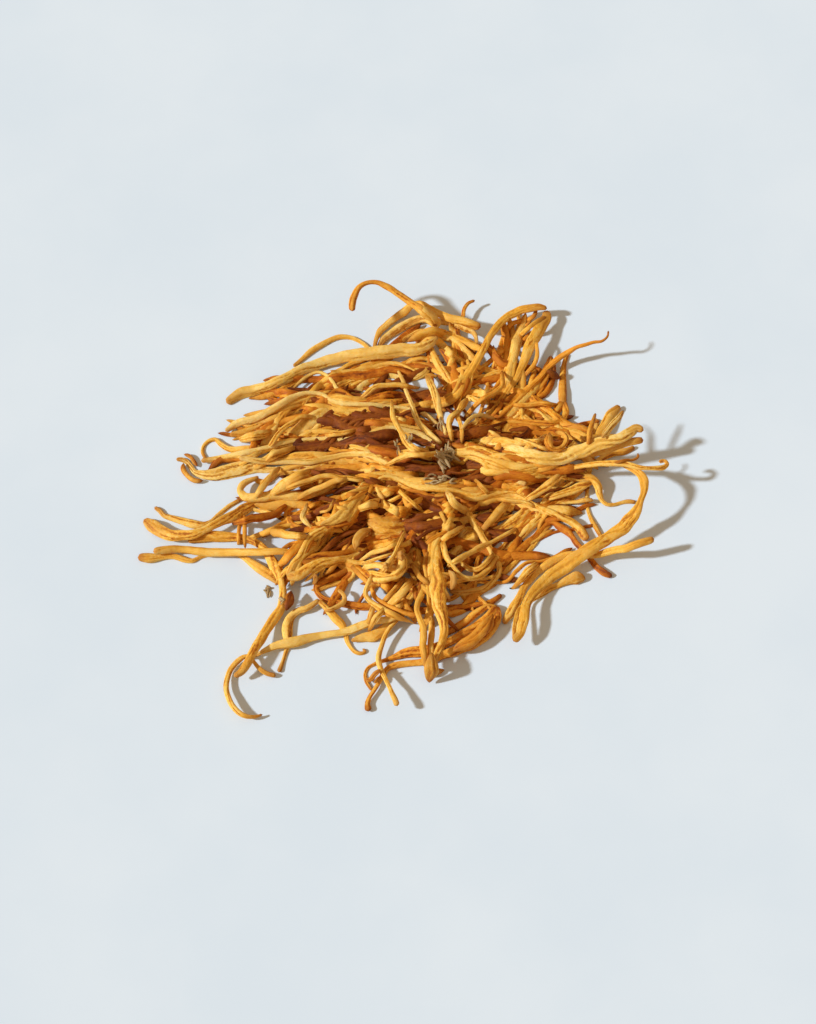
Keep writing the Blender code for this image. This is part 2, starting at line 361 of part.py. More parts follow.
        (642, 440.3, 6.5)], [(642, 440, 11.0)]),
    Stalk("right_thick", "pale", 0.7, [
        (448, 444.5, 6), (455, 441.8, 9), (465, 440.8, 10.5), (477, 440.3, 11), (490, 442, 10.5),
        (502, 447.3, 12), (513.3, 451.4, 13), (527, 455, 13), (545, 458, 13), (563, 457, 14),
        (579, 452, 14.5), (596, 445.5, 13), (611, 441.5, 12), (622, 438, 11), (630.8, 432.5, 10.5),
        (637, 428.5, 9.5), (642, 430, 7)], [(641, 430, 13.0)]),
]


def ray(spot):
    """Direction of sight through a place in the view, one unit long along the line of sight's axis."""
    across = (spot[0] - VIEW_CENTRE[0]) / VIEW_FOCAL
    down = (spot[1] - VIEW_CENTRE[1]) / VIEW_FOCAL
    return FORWARD + RIGHT * across - UP * down


def place(spot, height):
    """The point at a height above the floor that is seen at a place in the view."""
    sight = ray(spot)
    return EYE + sight * ((height - EYE.z) / sight.z)


def smooth(values):
    """A soft step from 0 to 1."""
    held = np.clip(values, 0.0, 1.0)
    return held * held * (3.0 - 2.0 * held)


def with_caps(route):
    """The route with a point set out beyond each end, where the end of the stalk comes to a blunt tip."""
    points = [np.array(point, float) for point in route]
    tips = []
    for end, inner in ((points[0], points[1]), (points[-1], points[-2])):
        out = end[:2] - inner[:2]
        reach = CAP_LENGTH * end[2] / 2.0 / np.linalg.norm(out)
        tips.append(np.array([*(end[:2] + out * reach), 0.0]))
    return np.array([tips[0], *points, tips[1]])


class Laid:
    """A stalk as it is laid: its stations along the route, their reach, and then their heights."""

    def __init__(self, stalk):
        self.stalk = stalk
        self.points = with_caps(stalk.route)
        widths = self.points[1:-1, 2]
        self.sides = 5 if widths.mean() <= THIN_STALK_PIXELS else 6
        self.rays = [ray(point[:2]) for point in self.points]
        self.metres = [(place(point[:2], SCALE_HEIGHT) - EYE).dot(FORWARD) / VIEW_FOCAL
                       for point in self.points]
        self.make_stations()
        self.floor = np.array([self.floor_height(index) for index in range(len(self.points))])

    def lateral(self, index):
        """Sideways direction of the stalk in the view, in metres a pixel, at one of its points."""
        before = self.points[max(index - 1, 0)][:2]
        after = self.points[min(index + 1, len(self.points) - 1)][:2]
        along = (after - before) / np.linalg.norm(after - before)
        return RIGHT * along[1] + UP * along[0]

    def corner(self, index, turn):
        """Offset from the stalk's middle to a corner of its cross-section."""
        half = self.points[index][2] / 2.0 * self.metres[index]
        sight = self.rays[index].normalized()
        wide = self.lateral(index) * (half * math.cos(turn))
        deep = sight * (-half * self.stalk.flat * math.sin(turn))
        return wide + deep

    def floor_height(self, index):
        """Lowest height of the stalk's middle at one of its points, with its underside on the floor."""
        if self.points[index][2] == 0.0:
            return TIP_HEIGHT
        first = math.pi / 2.0 + (math.pi / self.sides if self.sides % 2 == 0 else 0.0)
        turns = [first + 2.0 * math.pi * corner / self.sides for corner in range(self.sides)]
        lowest = min(self.corner(index, turn).z for turn in turns)
        inside = 1 < index < len(self.points) - 2
        return -lowest - (REST_DIP if inside else 0.0)

    def make_stations(self):
        """Stations between the route's points, close enough for the clearances."""
        parts = []
        shares = []
        for index in range(len(self.points) - 1):
            length = np.linalg.norm(self.points[index + 1][:2] - self.points[index][:2])
            steps = max(2, math.ceil(length / SAMPLE_PIXELS))
            for step in range(steps):
                parts.append(index)
                shares.append(step / steps)
        parts.append(len(self.points) - 2)
        shares.append(1.0)
        self.part = np.array(parts)
        self.share = np.array(shares)
        rows = self.between(self.points)
        self.spot = rows[:, :2]
        scale = self.between(np.array(self.metres))
        self.half = np.maximum(rows[:, 2] / 2.0, LEAST_REACH)
        self.deep = self.half * scale * self.stalk.flat
        steps = np.linalg.norm(np.diff(self.spot, axis=0), axis=1)
        self.along = np.concatenate([[0.0], np.cumsum(steps)]) * PIXEL
        self.slope = self.between(np.array([-sight.z for sight in self.rays]))

    def between(self, values):
        """Values at the route's points, read at the stations."""
        share = self.share if values.ndim == 1 else self.share[:, None]
        return values[self.part] * (1.0 - share) + values[self.part + 1] * share

    def bound(self, below, ease=None):
        """Least heights that clear the stalks below; ease fades the clearance out near a join."""
        least = np.full(len(self.half), -1.0)
        for other in below:
            apart = np.linalg.norm(self.spot[:, None] - other.spot[None, :], axis=2)
            mine, theirs = np.nonzero(apart < self.half[:, None] + other.half[None, :])
            if len(mine) == 0:
                continue
            gap = apart[mine, theirs]
            near = np.maximum(gap - other.half[theirs], 0.0)
            far = np.minimum(gap, self.half[mine])
            thick = np.zeros(len(mine))
            for part in np.linspace(0.0, 1.0, CONTACT_PARTS):
                inner = near + (far - near) * part
                own = 1.0 - (inner / self.half[mine]) ** 2
                its = 1.0 - ((gap - inner) / other.half[theirs]) ** 2
                depth = self.deep[mine] * np.sqrt(np.maximum(own, 0.0))
                depth = depth + other.deep[theirs] * np.sqrt(np.maximum(its, 0.0))
                thick = np.maximum(thick, depth)
            clear = thick + STALK_GAP
            if ease is not None:
                clear = clear * ease[mine]
            far_off = (EYE.z - other.height[theirs]) / other.slope[theirs]
            heights = EYE.z - self.slope[mine] * (far_off - clear)
            if ease is not None:
                heights = np.where(ease[mine] > 0.0, heights, -1.0)
            np.maximum.at(least, mine, heights)
        return least

    def drape(self, least):
        """The lowest gently bending line of heights that stays over the least heights."""
        bend = BEND_PER_METRE * (self.along[:, None] - self.along[None, :]) ** 2
        over = (least[None, :] - bend).max(1)
        above = (over[None, :] - bend).max(1)
        return (above[None, :] + bend).min(1)

    def settle(self, wished, least):
        """Heights at the route's points, raised until the straight stretches clear the least heights."""
        starts = np.searchsorted(self.part, np.arange(len(self.points) - 1))
        rings = np.append(wished[starts], wished[-1])
        rings = np.maximum(rings, self.floor)
        for _ in range(SETTLE_ROUNDS):
            short = least - self.between(rings)
            if short.max() < SETTLE_ERROR:
                break
            weight = (1.0 - self.share) ** 2 + self.share ** 2
            lift = np.zeros(len(rings))
            push = np.maximum(short, 0.0) / weight
            np.maximum.at(lift, self.part, push * (1.0 - self.share))
            np.maximum.at(lift, self.part + 1, push * self.share)
            rings = rings + lift
        self.rings = rings
        self.height = self.between(rings)

    def lifted(self, least):
        """The least heights with the stalk's raised places added."""
        raised = least.copy()
        for across, down, millimetres in self.stalk.lifts:
            nearest = np.linalg.norm(self.spot - (across, down), axis=1).argmin()
            raised[nearest] = max(raised[nearest], millimetres / MILLIMETRES)
        return raised


def lay_clump(clump, below):
    """Lay the stalks of a clump together: they meet at its join and clear each other away from it."""
    laid = [Laid(stalk) for stalk in clump.stalks]
    apart = [np.linalg.norm(piece.spot - clump.join, axis=1) * PIXEL for piece in laid]
    least = [np.maximum(piece.bound(below), piece.between(piece.floor)) for piece in laid]
    wished = [piece.lifted(row) for piece, row in zip(laid, least)]
    meet = max(row[gap < JOIN_REACH].max() for row, gap in zip(wished, apart))
    for index, piece in enumerate(laid):
        away = apart[index]
        row = np.where(away < JOIN_REACH, np.maximum(wished[index], meet), wished[index])
        if index == 0:
            heights = piece.drape(row)
            meet = heights[away.argmin()]
            piece.settle(heights, least[index])
            continue
        ease = smooth((away - JOIN_START) / JOIN_LENGTH)
        row = np.maximum(row, piece.bound(laid[:index], ease))
        heights = piece.drape(row)
        pinned = meet + (heights - meet) * smooth(away / (JOIN_START + JOIN_LENGTH))
        piece.settle(np.maximum(pinned, least[index]), least[index])
    return laid


def lay_stalk(stalk, below):
    """Lay one stalk over the stalks below."""
    piece = Laid(stalk)
    least = np.maximum(piece.bound(below), piece.between(piece.floor))
    piece.settle(piece.drape(piece.lifted(least)), least)
    return piece


def ring_frame(piece, index, middle):
    """Matrix that carries a unit circle to the stalk's cross-section at one of its points."""
    wide = piece.corner(index, 0.0)
    deep = piece.corner(index, math.pi / 2.0)
    frame = Matrix.Identity(4)
    frame.col[0][:3] = wide
    frame.col[1][:3] = deep
    frame.col[2][:3] = wide.cross(deep).normalized() * wide.length
    frame.col[3][:3] = middle
    return frame


def new_ring(form, edges):
    """Extrude a ring of edges, and give the new ring's corners and edges."""
    made = bmesh.ops.extrude_edge_only(form, edges=edges)["geom"]
    verts = [item for item in made if isinstance(item, bmesh.types.BMVert)]
    fresh = set(verts)
    sides = [item for item in made if isinstance(item, bmesh.types.BMEdge)]
    return verts, [edge for edge in sides if fresh.issuperset(edge.verts)]


def close_end(form, edges, tip):
    """Draw a ring of edges together in the stalk's tip."""
    verts, _ = new_ring(form, edges)
    bmesh.ops.pointmerge(form, verts=verts, merge_co=tip)


def grow_tube(piece, shift):
    """The stalk's closed tube, flat underneath where it lies on the floor, with its base at its origin."""
    middles = [place(point[:2], height) + shift for point, height in zip(piece.points, piece.rings)]
    base = middles[1]
    middles = [middle - base for middle in middles]
    form = bmesh.new()
    turn = math.pi / piece.sides if piece.sides % 2 == 0 else 0.0
    matrix = Matrix.Rotation(turn, 4, "Z")
    ring = bmesh.ops.create_circle(form, segments=piece.sides, radius=1.0, matrix=matrix)["verts"]
    edges = list(form.edges)
    first_edges = edges
    pose = Matrix.Identity(4)
    last = len(middles) - 2
    body = []
    for index in range(1, last + 1):
        if index > 1:
            ring, edges = new_ring(form, edges)
        frame = ring_frame(piece, index, middles[index])
        bmesh.ops.transform(form, matrix=frame @ pose.inverted(), verts=ring)
        pose = frame
        if 1 < index < last:
            body.extend(ring)
    for vert in body:
        vert.co.z = max(vert.co.z, -base.z)
    close_end(form, first_edges, middles[0])
    close_end(form, edges, middles[-1])
    bmesh.ops.recalc_face_normals(form, faces=form.faces)
    return form, base


def dry_material(name, tone):
    """The finish of one stalk: dry, slightly glossy skin."""
    material = bpy.data.materials.new(name)
    material.use_nodes = True
    shader = material.node_tree.nodes["Principled BSDF"]
    shader.inputs["Base Color"].default_value = (*TONES[tone], 1.0)
    shader.inputs["Roughness"].default_value = DRY_ROUGHNESS
    shader.inputs["Metallic"].default_value = 0.0
    return material


def stalk_object(name, piece, shift, collection, parent):
    """A stalk's object, at the place of its base."""
    form, base = grow_tube(piece, shift)
    mesh = bpy.data.meshes.new(name)
    form.to_mesh(mesh)
    form.free()
    mesh.shade_smooth()
    thing = bpy.data.objects.new(name, mesh)
    thing.location = base
    thing.parent = parent
    collection.objects.link(thing)
    mesh.materials.append(dry_material(name, piece.stalk.tone))
    return thing


def join_stalks(trunk, branches):
    """Grow the branches of a clump together with its first stalk."""
    for branch in branches:
        branch.hide_render = True
        branch.display_type = "WIRE"
        union = trunk.modifiers.new(branch.name, "BOOLEAN")
        union.operation = "UNION"
        union.solver = "EXACT"
        union.object = branch


def middle_shift(pieces):
    """The move that brings the middle of the clump's outline over the origin."""
    low = Vector((math.inf, math.inf, 0.0))
    high = -low
    for piece in pieces:
        for index in range(1, len(piece.points) - 1):
            middle = place(piece.points[index][:2], piece.rings[index])
            for side in range(OUTLINE_SIDES):
                spot = middle + piece.corner(index, 2.0 * math.pi * side / OUTLINE_SIDES)
                for axis in (0, 1):
                    low[axis] = min(low[axis], spot[axis])
                    high[axis] = max(high[axis], spot[axis])
    middle = (low + high) / 2.0
    return Vector((-middle.x, -middle.y, 0.0))


def build():
    """Lay the heap from the floor upwards and make its solids."""
    for thing in list(bpy.data.objects):
        bpy.data.objects.remove(thing, do_unlink=True)
    heap = bpy.data.collections.new("dried_cordyceps")
    cutters = bpy.data.collections.new("joined_branches")
    bpy.context.scene.collection.children.link(heap)
    bpy.context.scene.collection.children.link(cutters)
    parent = bpy.data.objects.new("clump_middle", None)
    heap.objects.link(parent)

    laid = []
    groups = []
    for item in HEAP:
        pieces = lay_clump(item, laid) if isinstance(item, Clump) else [lay_stalk(item, laid)]
        groups.append((item.name, pieces))
        laid.extend(pieces)
    shift = middle_shift(laid)
    rings = sum(len(piece.points) - 2 for piece in laid)
    top = max(piece.rings.max() for piece in laid)
    print(f"{len(groups)} solids, {rings} rings, top {top * MILLIMETRES:.1f} mm, shift {tuple(shift)}")

    for name, pieces in groups:
        trunk = stalk_object(name, pieces[0], shift, heap, parent)
        branches = [stalk_object(f"{name}_{piece.stalk.name}", piece, shift, cutters, parent)
                    for piece in pieces[1:]]
        join_stalks(trunk, branches)


build()
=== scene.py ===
# %% [markdown]
# # A clump of dried cordyceps
# The object is a tangle of dried fungus stalks, golden orange, wrinkled along their length and curled
# at their tips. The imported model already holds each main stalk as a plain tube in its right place.
# This lesson reads the line of each tube and grows a wrinkled stalk along it, then adds the thin
# twigs, torn strips and grey remnants that lie among the stalks, and last the floor and the light.

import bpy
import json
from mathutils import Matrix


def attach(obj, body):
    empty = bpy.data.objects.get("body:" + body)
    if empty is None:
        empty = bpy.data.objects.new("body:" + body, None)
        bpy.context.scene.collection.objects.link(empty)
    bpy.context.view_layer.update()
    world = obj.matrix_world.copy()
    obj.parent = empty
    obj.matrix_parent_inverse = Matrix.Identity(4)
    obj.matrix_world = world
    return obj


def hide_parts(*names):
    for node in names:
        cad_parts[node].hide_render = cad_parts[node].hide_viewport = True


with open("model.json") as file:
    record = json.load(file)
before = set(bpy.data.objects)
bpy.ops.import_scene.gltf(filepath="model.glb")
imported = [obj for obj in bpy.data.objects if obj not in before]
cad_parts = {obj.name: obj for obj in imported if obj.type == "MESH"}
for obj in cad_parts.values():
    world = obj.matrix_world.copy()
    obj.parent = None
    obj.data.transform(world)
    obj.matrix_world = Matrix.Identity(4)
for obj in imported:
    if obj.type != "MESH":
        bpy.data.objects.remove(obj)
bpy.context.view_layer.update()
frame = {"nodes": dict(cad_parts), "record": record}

# %% [markdown]
# Blender's own modules make the meshes, and numpy works on whole rows of numbers at once, which keeps
# the wrinkles of some sixty stalks quick to compute. The nodes are listed from the floor upwards, so
# a stalk's place in the list says what lies under it.

# %% Modules and the order of the stalks
import json
import math
import zlib

import bmesh
import bpy
import numpy as np
from mathutils import Vector

MILLIMETRE = 0.001
STACK = [part["node"] for part in frame["record"]["subparts"]]
SLOTS = {part["node"]: part["material_slot"] for part in frame["record"]["subparts"]}
print(len(STACK), "solids, from", STACK[0], "up to", STACK[-1])

# %% [markdown]
# The camera looks down on the clump at sixty degrees through an 85 mm lens, as the photograph does.
# Its place is worked out from the clump's real width and the width that it has in the picture, so
# that a place in the picture and a height give one point in space. The thin pieces are placed in
# that way later on. The clump was moved a little to bring its middle over the origin, and the
# camera takes the same step.

# %% The camera
PICTURE = (816, 1024)
LENS = 85.0
SENSOR = 36.0
FOCAL_PIXELS = LENS / SENSOR * PICTURE[1]
CLUMP_WIDTH = 0.158
CLUMP_WIDTH_PIXELS = 527.0
VIEW_ANGLE = math.radians(60.0)
CLUMP_STEP = Vector((0.000762, -0.003465, 0.0))
EYE_DISTANCE_PIXELS = 2418.0

FORWARD = Vector((0.0, math.cos(VIEW_ANGLE), -math.sin(VIEW_ANGLE)))
RIGHT = Vector((1.0, 0.0, 0.0))
UP = RIGHT.cross(FORWARD)
PIXEL = CLUMP_WIDTH / CLUMP_WIDTH_PIXELS
EYE = CLUMP_STEP - FORWARD * (EYE_DISTANCE_PIXELS * PIXEL)

lens = bpy.data.cameras.new("camera")
lens.lens = LENS
lens.sensor_width = SENSOR
camera = bpy.data.objects.new("camera", lens)
camera.location = EYE
camera.rotation_mode = "QUATERNION"
camera.rotation_quaternion = FORWARD.to_track_quat("-Z", "Y")
bpy.context.scene.collection.objects.link(camera)
bpy.context.scene.camera = camera
print("camera at", tuple(EYE))

# %% [markdown]
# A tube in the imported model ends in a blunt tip: one corner with a flat ring of five or six corners
# round it. From that ring the next ones are found by stepping along the edges, until the far tip
# or the place where a branch grows into its neighbours. Each ring gives the stalk's middle, its
# width across the view and its thickness along it. Reading the line from the solid keeps the
# fine stalk exactly where the plain one is.

# %% Read the line of a tube
FLAT_RING = 4e-6
SAME_CORNER = 1e-6
RING_CORNERS = (5, 6)


def middle_of(verts):
    """The mean place of some corners."""
    total = Vector((0.0, 0.0, 0.0))
    for vert in verts:
        total += vert.co
    return total / len(verts)


def neighbours(verts):
    """All corners one edge away from some corners."""
    return {edge.other_vert(vert) for vert in verts for edge in vert.link_edges}


def is_ring(verts):
    """True if each corner has just two of the others beside it."""
    return all(len(neighbours([vert]) & verts) == 2 for vert in verts)


def ring_at_tip(vert):
    """The flat ring round a tip, or nothing if the corner is no tip."""
    ring = neighbours([vert])
    if len(ring) not in RING_CORNERS or not is_ring(ring):
        return None
    middle = middle_of(ring)
    arms = [other.co - middle for other in ring]
    normal = max((a.cross(b) for a in arms for b in arms), key=lambda cross: cross.length).normalized()
    if max(abs(arm.dot(normal)) for arm in arms) > FLAT_RING:
        return None
    return ring if abs((vert.co - middle).dot(normal)) > 4 * FLAT_RING else None


def follow(tip, ring):
    """Rings from a tip onwards, and the corners after the last one."""
    rings = [ring]
    seen = {tip} | ring
    while True:
        after = neighbours(rings[-1]) - seen
        if len(after) != len(ring) or not is_ring(after):
            return rings, after
        seen |= after
        rings.append(after)


def measure(ring, heading):
    """A ring's middle, and half its width across the view and along it."""
    middle = middle_of(ring)
    sight = (middle - EYE).normalized()
    across = heading.cross(sight).normalized()
    wide = max(abs((vert.co - middle).dot(across)) for vert in ring)
    deep = max(abs((vert.co - middle).dot(sight)) for vert in ring)
    return (*middle, wide, deep)


def read_lines(node):
    """Every stalk of a solid, as rows of place, half width and half thickness."""
    form = bmesh.new()
    form.from_mesh(frame["nodes"][node].data)
    bmesh.ops.remove_doubles(form, verts=form.verts, dist=SAME_CORNER)
    lines = []
    done = set()
    loose_ends = []
    for vert in form.verts:
        ring = ring_at_tip(vert)
        if ring is None or vert in done:
            continue
        rings, after = follow(vert, ring)
        done |= {vert} | after if len(after) == 1 else {vert}
        middles = [middle_of(ring) for ring in rings]
        headings = [b - a for a, b in zip(middles, middles[1:])]
        if not headings:
            continue
        headings.append(headings[-1])
        line = [measure(ring, heading) for ring, heading in zip(rings, headings)]
        lines.append(line)
        if len(after) != 1:
            loose_ends.append((line, middle_of(after)))
    if loose_ends:
        join = sum((end for _, end in loose_ends), Vector()) / len(loose_ends)
        for line, _ in loose_ends:
            line.append((*join, *line[-1][3:]))
    form.free()
    return [np.array(line) for line in lines]


LINES = {node: read_lines(node) for node in STACK}
print(sum(len(lines) for lines in LINES.values()), "stalks read;",
      {node: len(lines) for node, lines in LINES.items() if len(lines) != 1})

# %% [markdown]
# The tube's few rings are joined by a smooth line through all of them (a Catmull-Rom curve), because
# a dried stalk bends without corners. The same line carries the widths.

# %% A smooth line through the rings
def smooth_line(rows, count):
    """Rows read at even steps from a smooth curve through the given rows."""
    steps = np.linalg.norm(np.diff(rows[:, :3], axis=0), axis=1)
    knots = np.concatenate([[0.0], np.cumsum(np.maximum(steps, SAME_CORNER))])
    slopes = np.gradient(rows, knots, axis=0)
    spots = np.linspace(0.0, knots[-1], count)
    part = np.clip(np.searchsorted(knots, spots, side="right") - 1, 0, len(knots) - 2)
    span = (knots[part + 1] - knots[part])[:, None]
    share = ((spots - knots[part])[:, None]) / span
    first = 2 * share**3 - 3 * share**2 + 1
    last = 1 - first
    rise = (share**3 - 2 * share**2 + share) * span
    fall = (share**3 - share**2) * span
    line = (first * rows[part] + rise * slopes[part]
            + last * rows[part + 1] + fall * slopes[part + 1])
    return line, spots


def wander(rng, spots, spacing):
    """A smooth random line between -1 and 1 that changes over a spacing."""
    count = int(spots[-1] / spacing) + 4
    knots = rng.uniform(-1.0, 1.0, count)
    places = spots / spacing + 0.5
    part = np.floor(places).astype(int)
    share = places - part
    soft = share * share * (3 - 2 * share)
    return knots[part] * (1 - soft) + knots[part + 1] * soft


lengths = [np.linalg.norm(np.diff(line[:, :3], axis=0), axis=1).sum() for lines in LINES.values()
           for line in lines]
print("longest stalk", max(lengths))

# %% [markdown]
# A dried stalk has shrunk round its soft core, so its skin lies in furrows that run along it, start
# and stop, and turn slowly round it. Its thickness swells and narrows, and one side has often sunk in
# along its whole length. Each furrow is a narrow dip round the stalk whose place and depth wander
# along the stalk. The depth is also kept on every corner, so the finish can paint shade down in the
# furrows, darker there than on the ridges.

# %% The furrowed skin
FULL_SKIN = 0.99
SKIN_LIMITS = (0.35, 1.16)
TURN_SPACING = 14 * MILLIMETRE
PLACE_SPACING = 6 * MILLIMETRE
SWELL_SPACINGS = ((0.11, 4.2 * MILLIMETRE), (0.045, 1.3 * MILLIMETRE))
CORNERS_ROUND = (3, 5, 8)
CORNER_HEIGHT = 0.14


def furrowed(rng, spots, turns, furrows, depth, twist):
    """How far the skin stands from the middle, as a share, and how deep in a furrow each place is."""
    skin = np.ones((len(spots), len(turns)))
    shade = np.zeros_like(skin)
    length = spots / MILLIMETRE
    turning = twist * length + 0.9 * wander(rng, spots, TURN_SPACING)
    for index in range(furrows + 2):
        if index == 0:
            place, width, share = rng.uniform(4.1, 5.2), 0.6, 1.3
        elif index <= 2:
            place, width, share = rng.uniform(0.7, 2.4), rng.uniform(0.12, 0.20), rng.uniform(0.6, 1.1)
        else:
            place, width, share = rng.uniform(0, 2 * math.pi), rng.uniform(0.18, 0.40), rng.uniform(0.5, 1.1)
        place = place + turning + 0.40 * wander(rng, spots, PLACE_SPACING)
        deep = np.clip(0.55 + 0.85 * wander(rng, spots, rng.uniform(3, 9) * MILLIMETRE), 0.0, 1.0)
        away = np.angle(np.exp(1j * (turns[None, :] - place[:, None])))
        dip = np.exp(-np.abs(away / width) ** 1.4) * deep[:, None]
        skin -= dip * depth * share
        shade = np.maximum(shade, dip)
    swell = sum(size * wander(rng, spots, spacing) for size, spacing in SWELL_SPACINGS)
    skin *= (1.05 + swell)[:, None]
    for waves in CORNERS_ROUND:
        lean = rng.uniform(0, 2 * math.pi) + 1.5 * wander(rng, spots, 4 * MILLIMETRE) + turning
        skin += CORNER_HEIGHT / waves * np.sin(waves * turns[None, :] + lean[:, None])
    skin *= FULL_SKIN / skin.mean(axis=1, keepdims=True)**0.8
    return np.clip(skin, *SKIN_LIMITS), shade


def end_shape(spots, reach, power):
    """Share of the full width near both ends: rounded, or drawn out to a point over a longer reach."""
    size = np.ones(len(spots))
    for away, far in ((spots, reach[0]), (spots[-1] - spots, reach[1])):
        left = np.clip(1 - away / far, 0.0, 1.0)
        size *= (1 - left**power) ** (1 / power)
    return size


# %% [markdown]
# The skin is a flat grid, bent round the line and closed along one seam and at both ends: a grid
# already has even rows along the stalk and a map of its surface, and one rule then gives every
# corner its place. It lies across the line of sight and along it, as the plain tube does, so it fills
# the same room. Where a stalk lies on the surface its skin is pressed flat.

# %% Grow a stalk
RING_STEP = 0.42 * MILLIMETRE
FLOOR_SKIN = 0.02 * MILLIMETRE
TIP_REACH = 0.5
LEAST_HALF = 2e-5
FEWEST_RINGS = 14
FEWEST_SIDES, MOST_SIDES = 18, 52
ROUND_TIP, LONG_TIP = 2.2, 1.5
LONG_TAPER = 2
SHAKE, SHAKE_SPACING = 0.10, 2.6 * MILLIMETRE
AGED_REACH = 7 * MILLIMETRE
AGED_FADE = 2.2
SEAM_GAP = 1e-7


def with_tips(rows):
    """The rows with one more at each end, set out past the last ring as on the plain tube."""
    out = []
    for end, inner in ((rows[0], rows[1]), (rows[-1], rows[-2])):
        way = end[:3] - inner[:3]
        tip = end.copy()
        tip[:3] += way / max(np.linalg.norm(way), 1e-9) * end[3] * TIP_REACH
        out.append(tip)
    return np.vstack([out[0], rows, out[1]])


def crossed(first, second):
    """Cross product of two sets of directions, each one unit long."""
    made = np.cross(first, second)
    return made / np.maximum(np.linalg.norm(made, axis=1, keepdims=True), 1e-12)


def grow_stalk(form, rows, seed, furrows=4, depth=0.24, twist=0.03, tone=0.0, taper=1.3, age=(1.0, 1.0),
               step=RING_STEP, sides=None):
    """Add one wrinkled stalk to a mesh, along rows of place, half width and half thickness."""
    rng = np.random.default_rng(zlib.crc32(seed.encode()))
    rows = with_tips(np.asarray(rows, float))
    length = np.linalg.norm(np.diff(rows[:, :3], axis=0), axis=1).sum()
    count = max(FEWEST_RINGS, int(length / step))
    sides = sides or int(np.clip(14 + 14 * rows[:, 3].max() / MILLIMETRE, FEWEST_SIDES, MOST_SIDES))
    line, spots = smooth_line(rows, count)
    middles = line[:, :3]
    wide, deep = np.maximum(line[:, 3], LEAST_HALF), np.maximum(line[:, 4], LEAST_HALF)
    heading = np.gradient(middles, axis=0)
    heading /= np.maximum(np.linalg.norm(heading, axis=1, keepdims=True), 1e-12)
    sight = middles - np.array(EYE)
    sight /= np.linalg.norm(sight, axis=1, keepdims=True)
    across = crossed(heading, sight)
    turns = np.linspace(0.0, 2 * math.pi, sides + 1)
    skin, shade = furrowed(rng, spots, turns, furrows, depth, twist)
    skin[:, -1] = skin[:, 0]
    shade[:, -1] = shade[:, 0]
    reach = [min(taper * width, spots[-1] / 2) for width in (wide[0], wide[-1])]
    size = end_shape(spots, reach, ROUND_TIP if taper < LONG_TAPER else LONG_TIP)[:, None] * skin
    shake = SHAKE * wide * wander(rng, spots, SHAKE_SPACING)
    places = middles + across * shake[:, None]
    places = (places[:, None, :]
              + across[:, None, :] * (wide[:, None] * size * np.cos(turns))[:, :, None]
              - sight[:, None, :] * (deep[:, None] * size * np.sin(turns))[:, :, None])
    places[:, :, 2] = np.maximum(places[:, :, 2], FLOOR_SKIN)
    old = sum(share * np.exp(-AGED_FADE * away / AGED_REACH)
              for share, away in zip(age, (spots, spots[-1] - spots)))
    old = np.clip(old, 0.0, 1.0)[:, None] * np.ones_like(skin)
    add_skin(form, places, shade, old, tone, length)


def add_skin(form, places, shade, old, tone, length):
    """Bend a grid of faces to the given places, and close it along its seam and at its ends."""
    rows, columns = places.shape[:2]
    route = form.loops.layers.uv["route"]
    layers = [form.verts.layers.float[name] for name in ("furrow", "age", "tone")]
    made = bmesh.ops.create_grid(form, x_segments=rows - 1, y_segments=columns - 1, size=0.5,
                                 calc_uvs=True)["verts"]
    for vert in made:
        row = round((vert.co.x + 0.5) * (rows - 1))
        column = round((vert.co.y + 0.5) * (columns - 1))
        values = (shade[row, column], old[row, column], tone)
        for layer, value in zip(layers, values):
            vert[layer] = value
        vert.co = places[row, column]
    faces = {face for vert in made for face in vert.link_faces}
    for face in faces:
        for loop in face.loops:
            loop[route].uv.x *= length / MILLIMETRE * 0.1
    bmesh.ops.remove_doubles(form, verts=made, dist=SEAM_GAP)
    bmesh.ops.recalc_face_normals(form, faces=[face for face in faces if face.is_valid])


def new_form():
    """An empty mesh that keeps the map of its skin and the values that its finish reads."""
    form = bmesh.new()
    form.loops.layers.uv.new("route")
    for name in ("furrow", "age", "tone"):
        form.verts.layers.float.new(name)
    return form


def finish_piece(form, name, material, nodes=()):
    """Turn a mesh into a piece of the object that rides on it and stands for its plain solids."""
    mesh = bpy.data.meshes.new(name)
    form.to_mesh(mesh)
    form.free()
    mesh.shade_smooth()
    mesh.materials.append(material)
    piece = bpy.data.objects.new(name, mesh)
    bpy.context.scene.collection.objects.link(piece)
    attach(piece, "root")
    if nodes:
        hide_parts(*nodes)
    return piece


print("rings", RING_STEP, "apart on a main stalk")

# %% [markdown]
# The dried skin is golden on its ridges, with painted shade in dark orange down in its furrows, pale
# dusty patches, fine streaks along the stalk and browner tips. The finish is one node tree, made once
# for each tone of skin. It reads the furrow depth that was kept on the corners for the painted shade,
# noise in Object coordinates for the patches, and the skin's own map for the streaks, so all of it
# stays on the stalk from any side.

# %% The dried skin's finish
# The dark furrow colour of each tone is painted shade, darker down in the creases where less light reaches.
TONES = {
    "pale_skin": dict(ridge=(0.93, 0.63, 0.21), skin=(0.88, 0.49, 0.080), furrow=(0.46, 0.14, 0.006),
                      old=(0.44, 0.15, 0.018)),
    "golden_skin": dict(ridge=(0.92, 0.56, 0.135), skin=(0.86, 0.40, 0.036), furrow=(0.42, 0.100, 0.003),
                        old=(0.36, 0.095, 0.008)),
    "orange_skin": dict(ridge=(0.88, 0.43, 0.060), skin=(0.79, 0.28, 0.013), furrow=(0.34, 0.064, 0.0012),
                        old=(0.27, 0.058, 0.003)),
    "brown_skin": dict(ridge=(0.70, 0.25, 0.014), skin=(0.52, 0.125, 0.003), furrow=(0.15, 0.022, 0.001),
                       old=(0.12, 0.020, 0.001)),
}


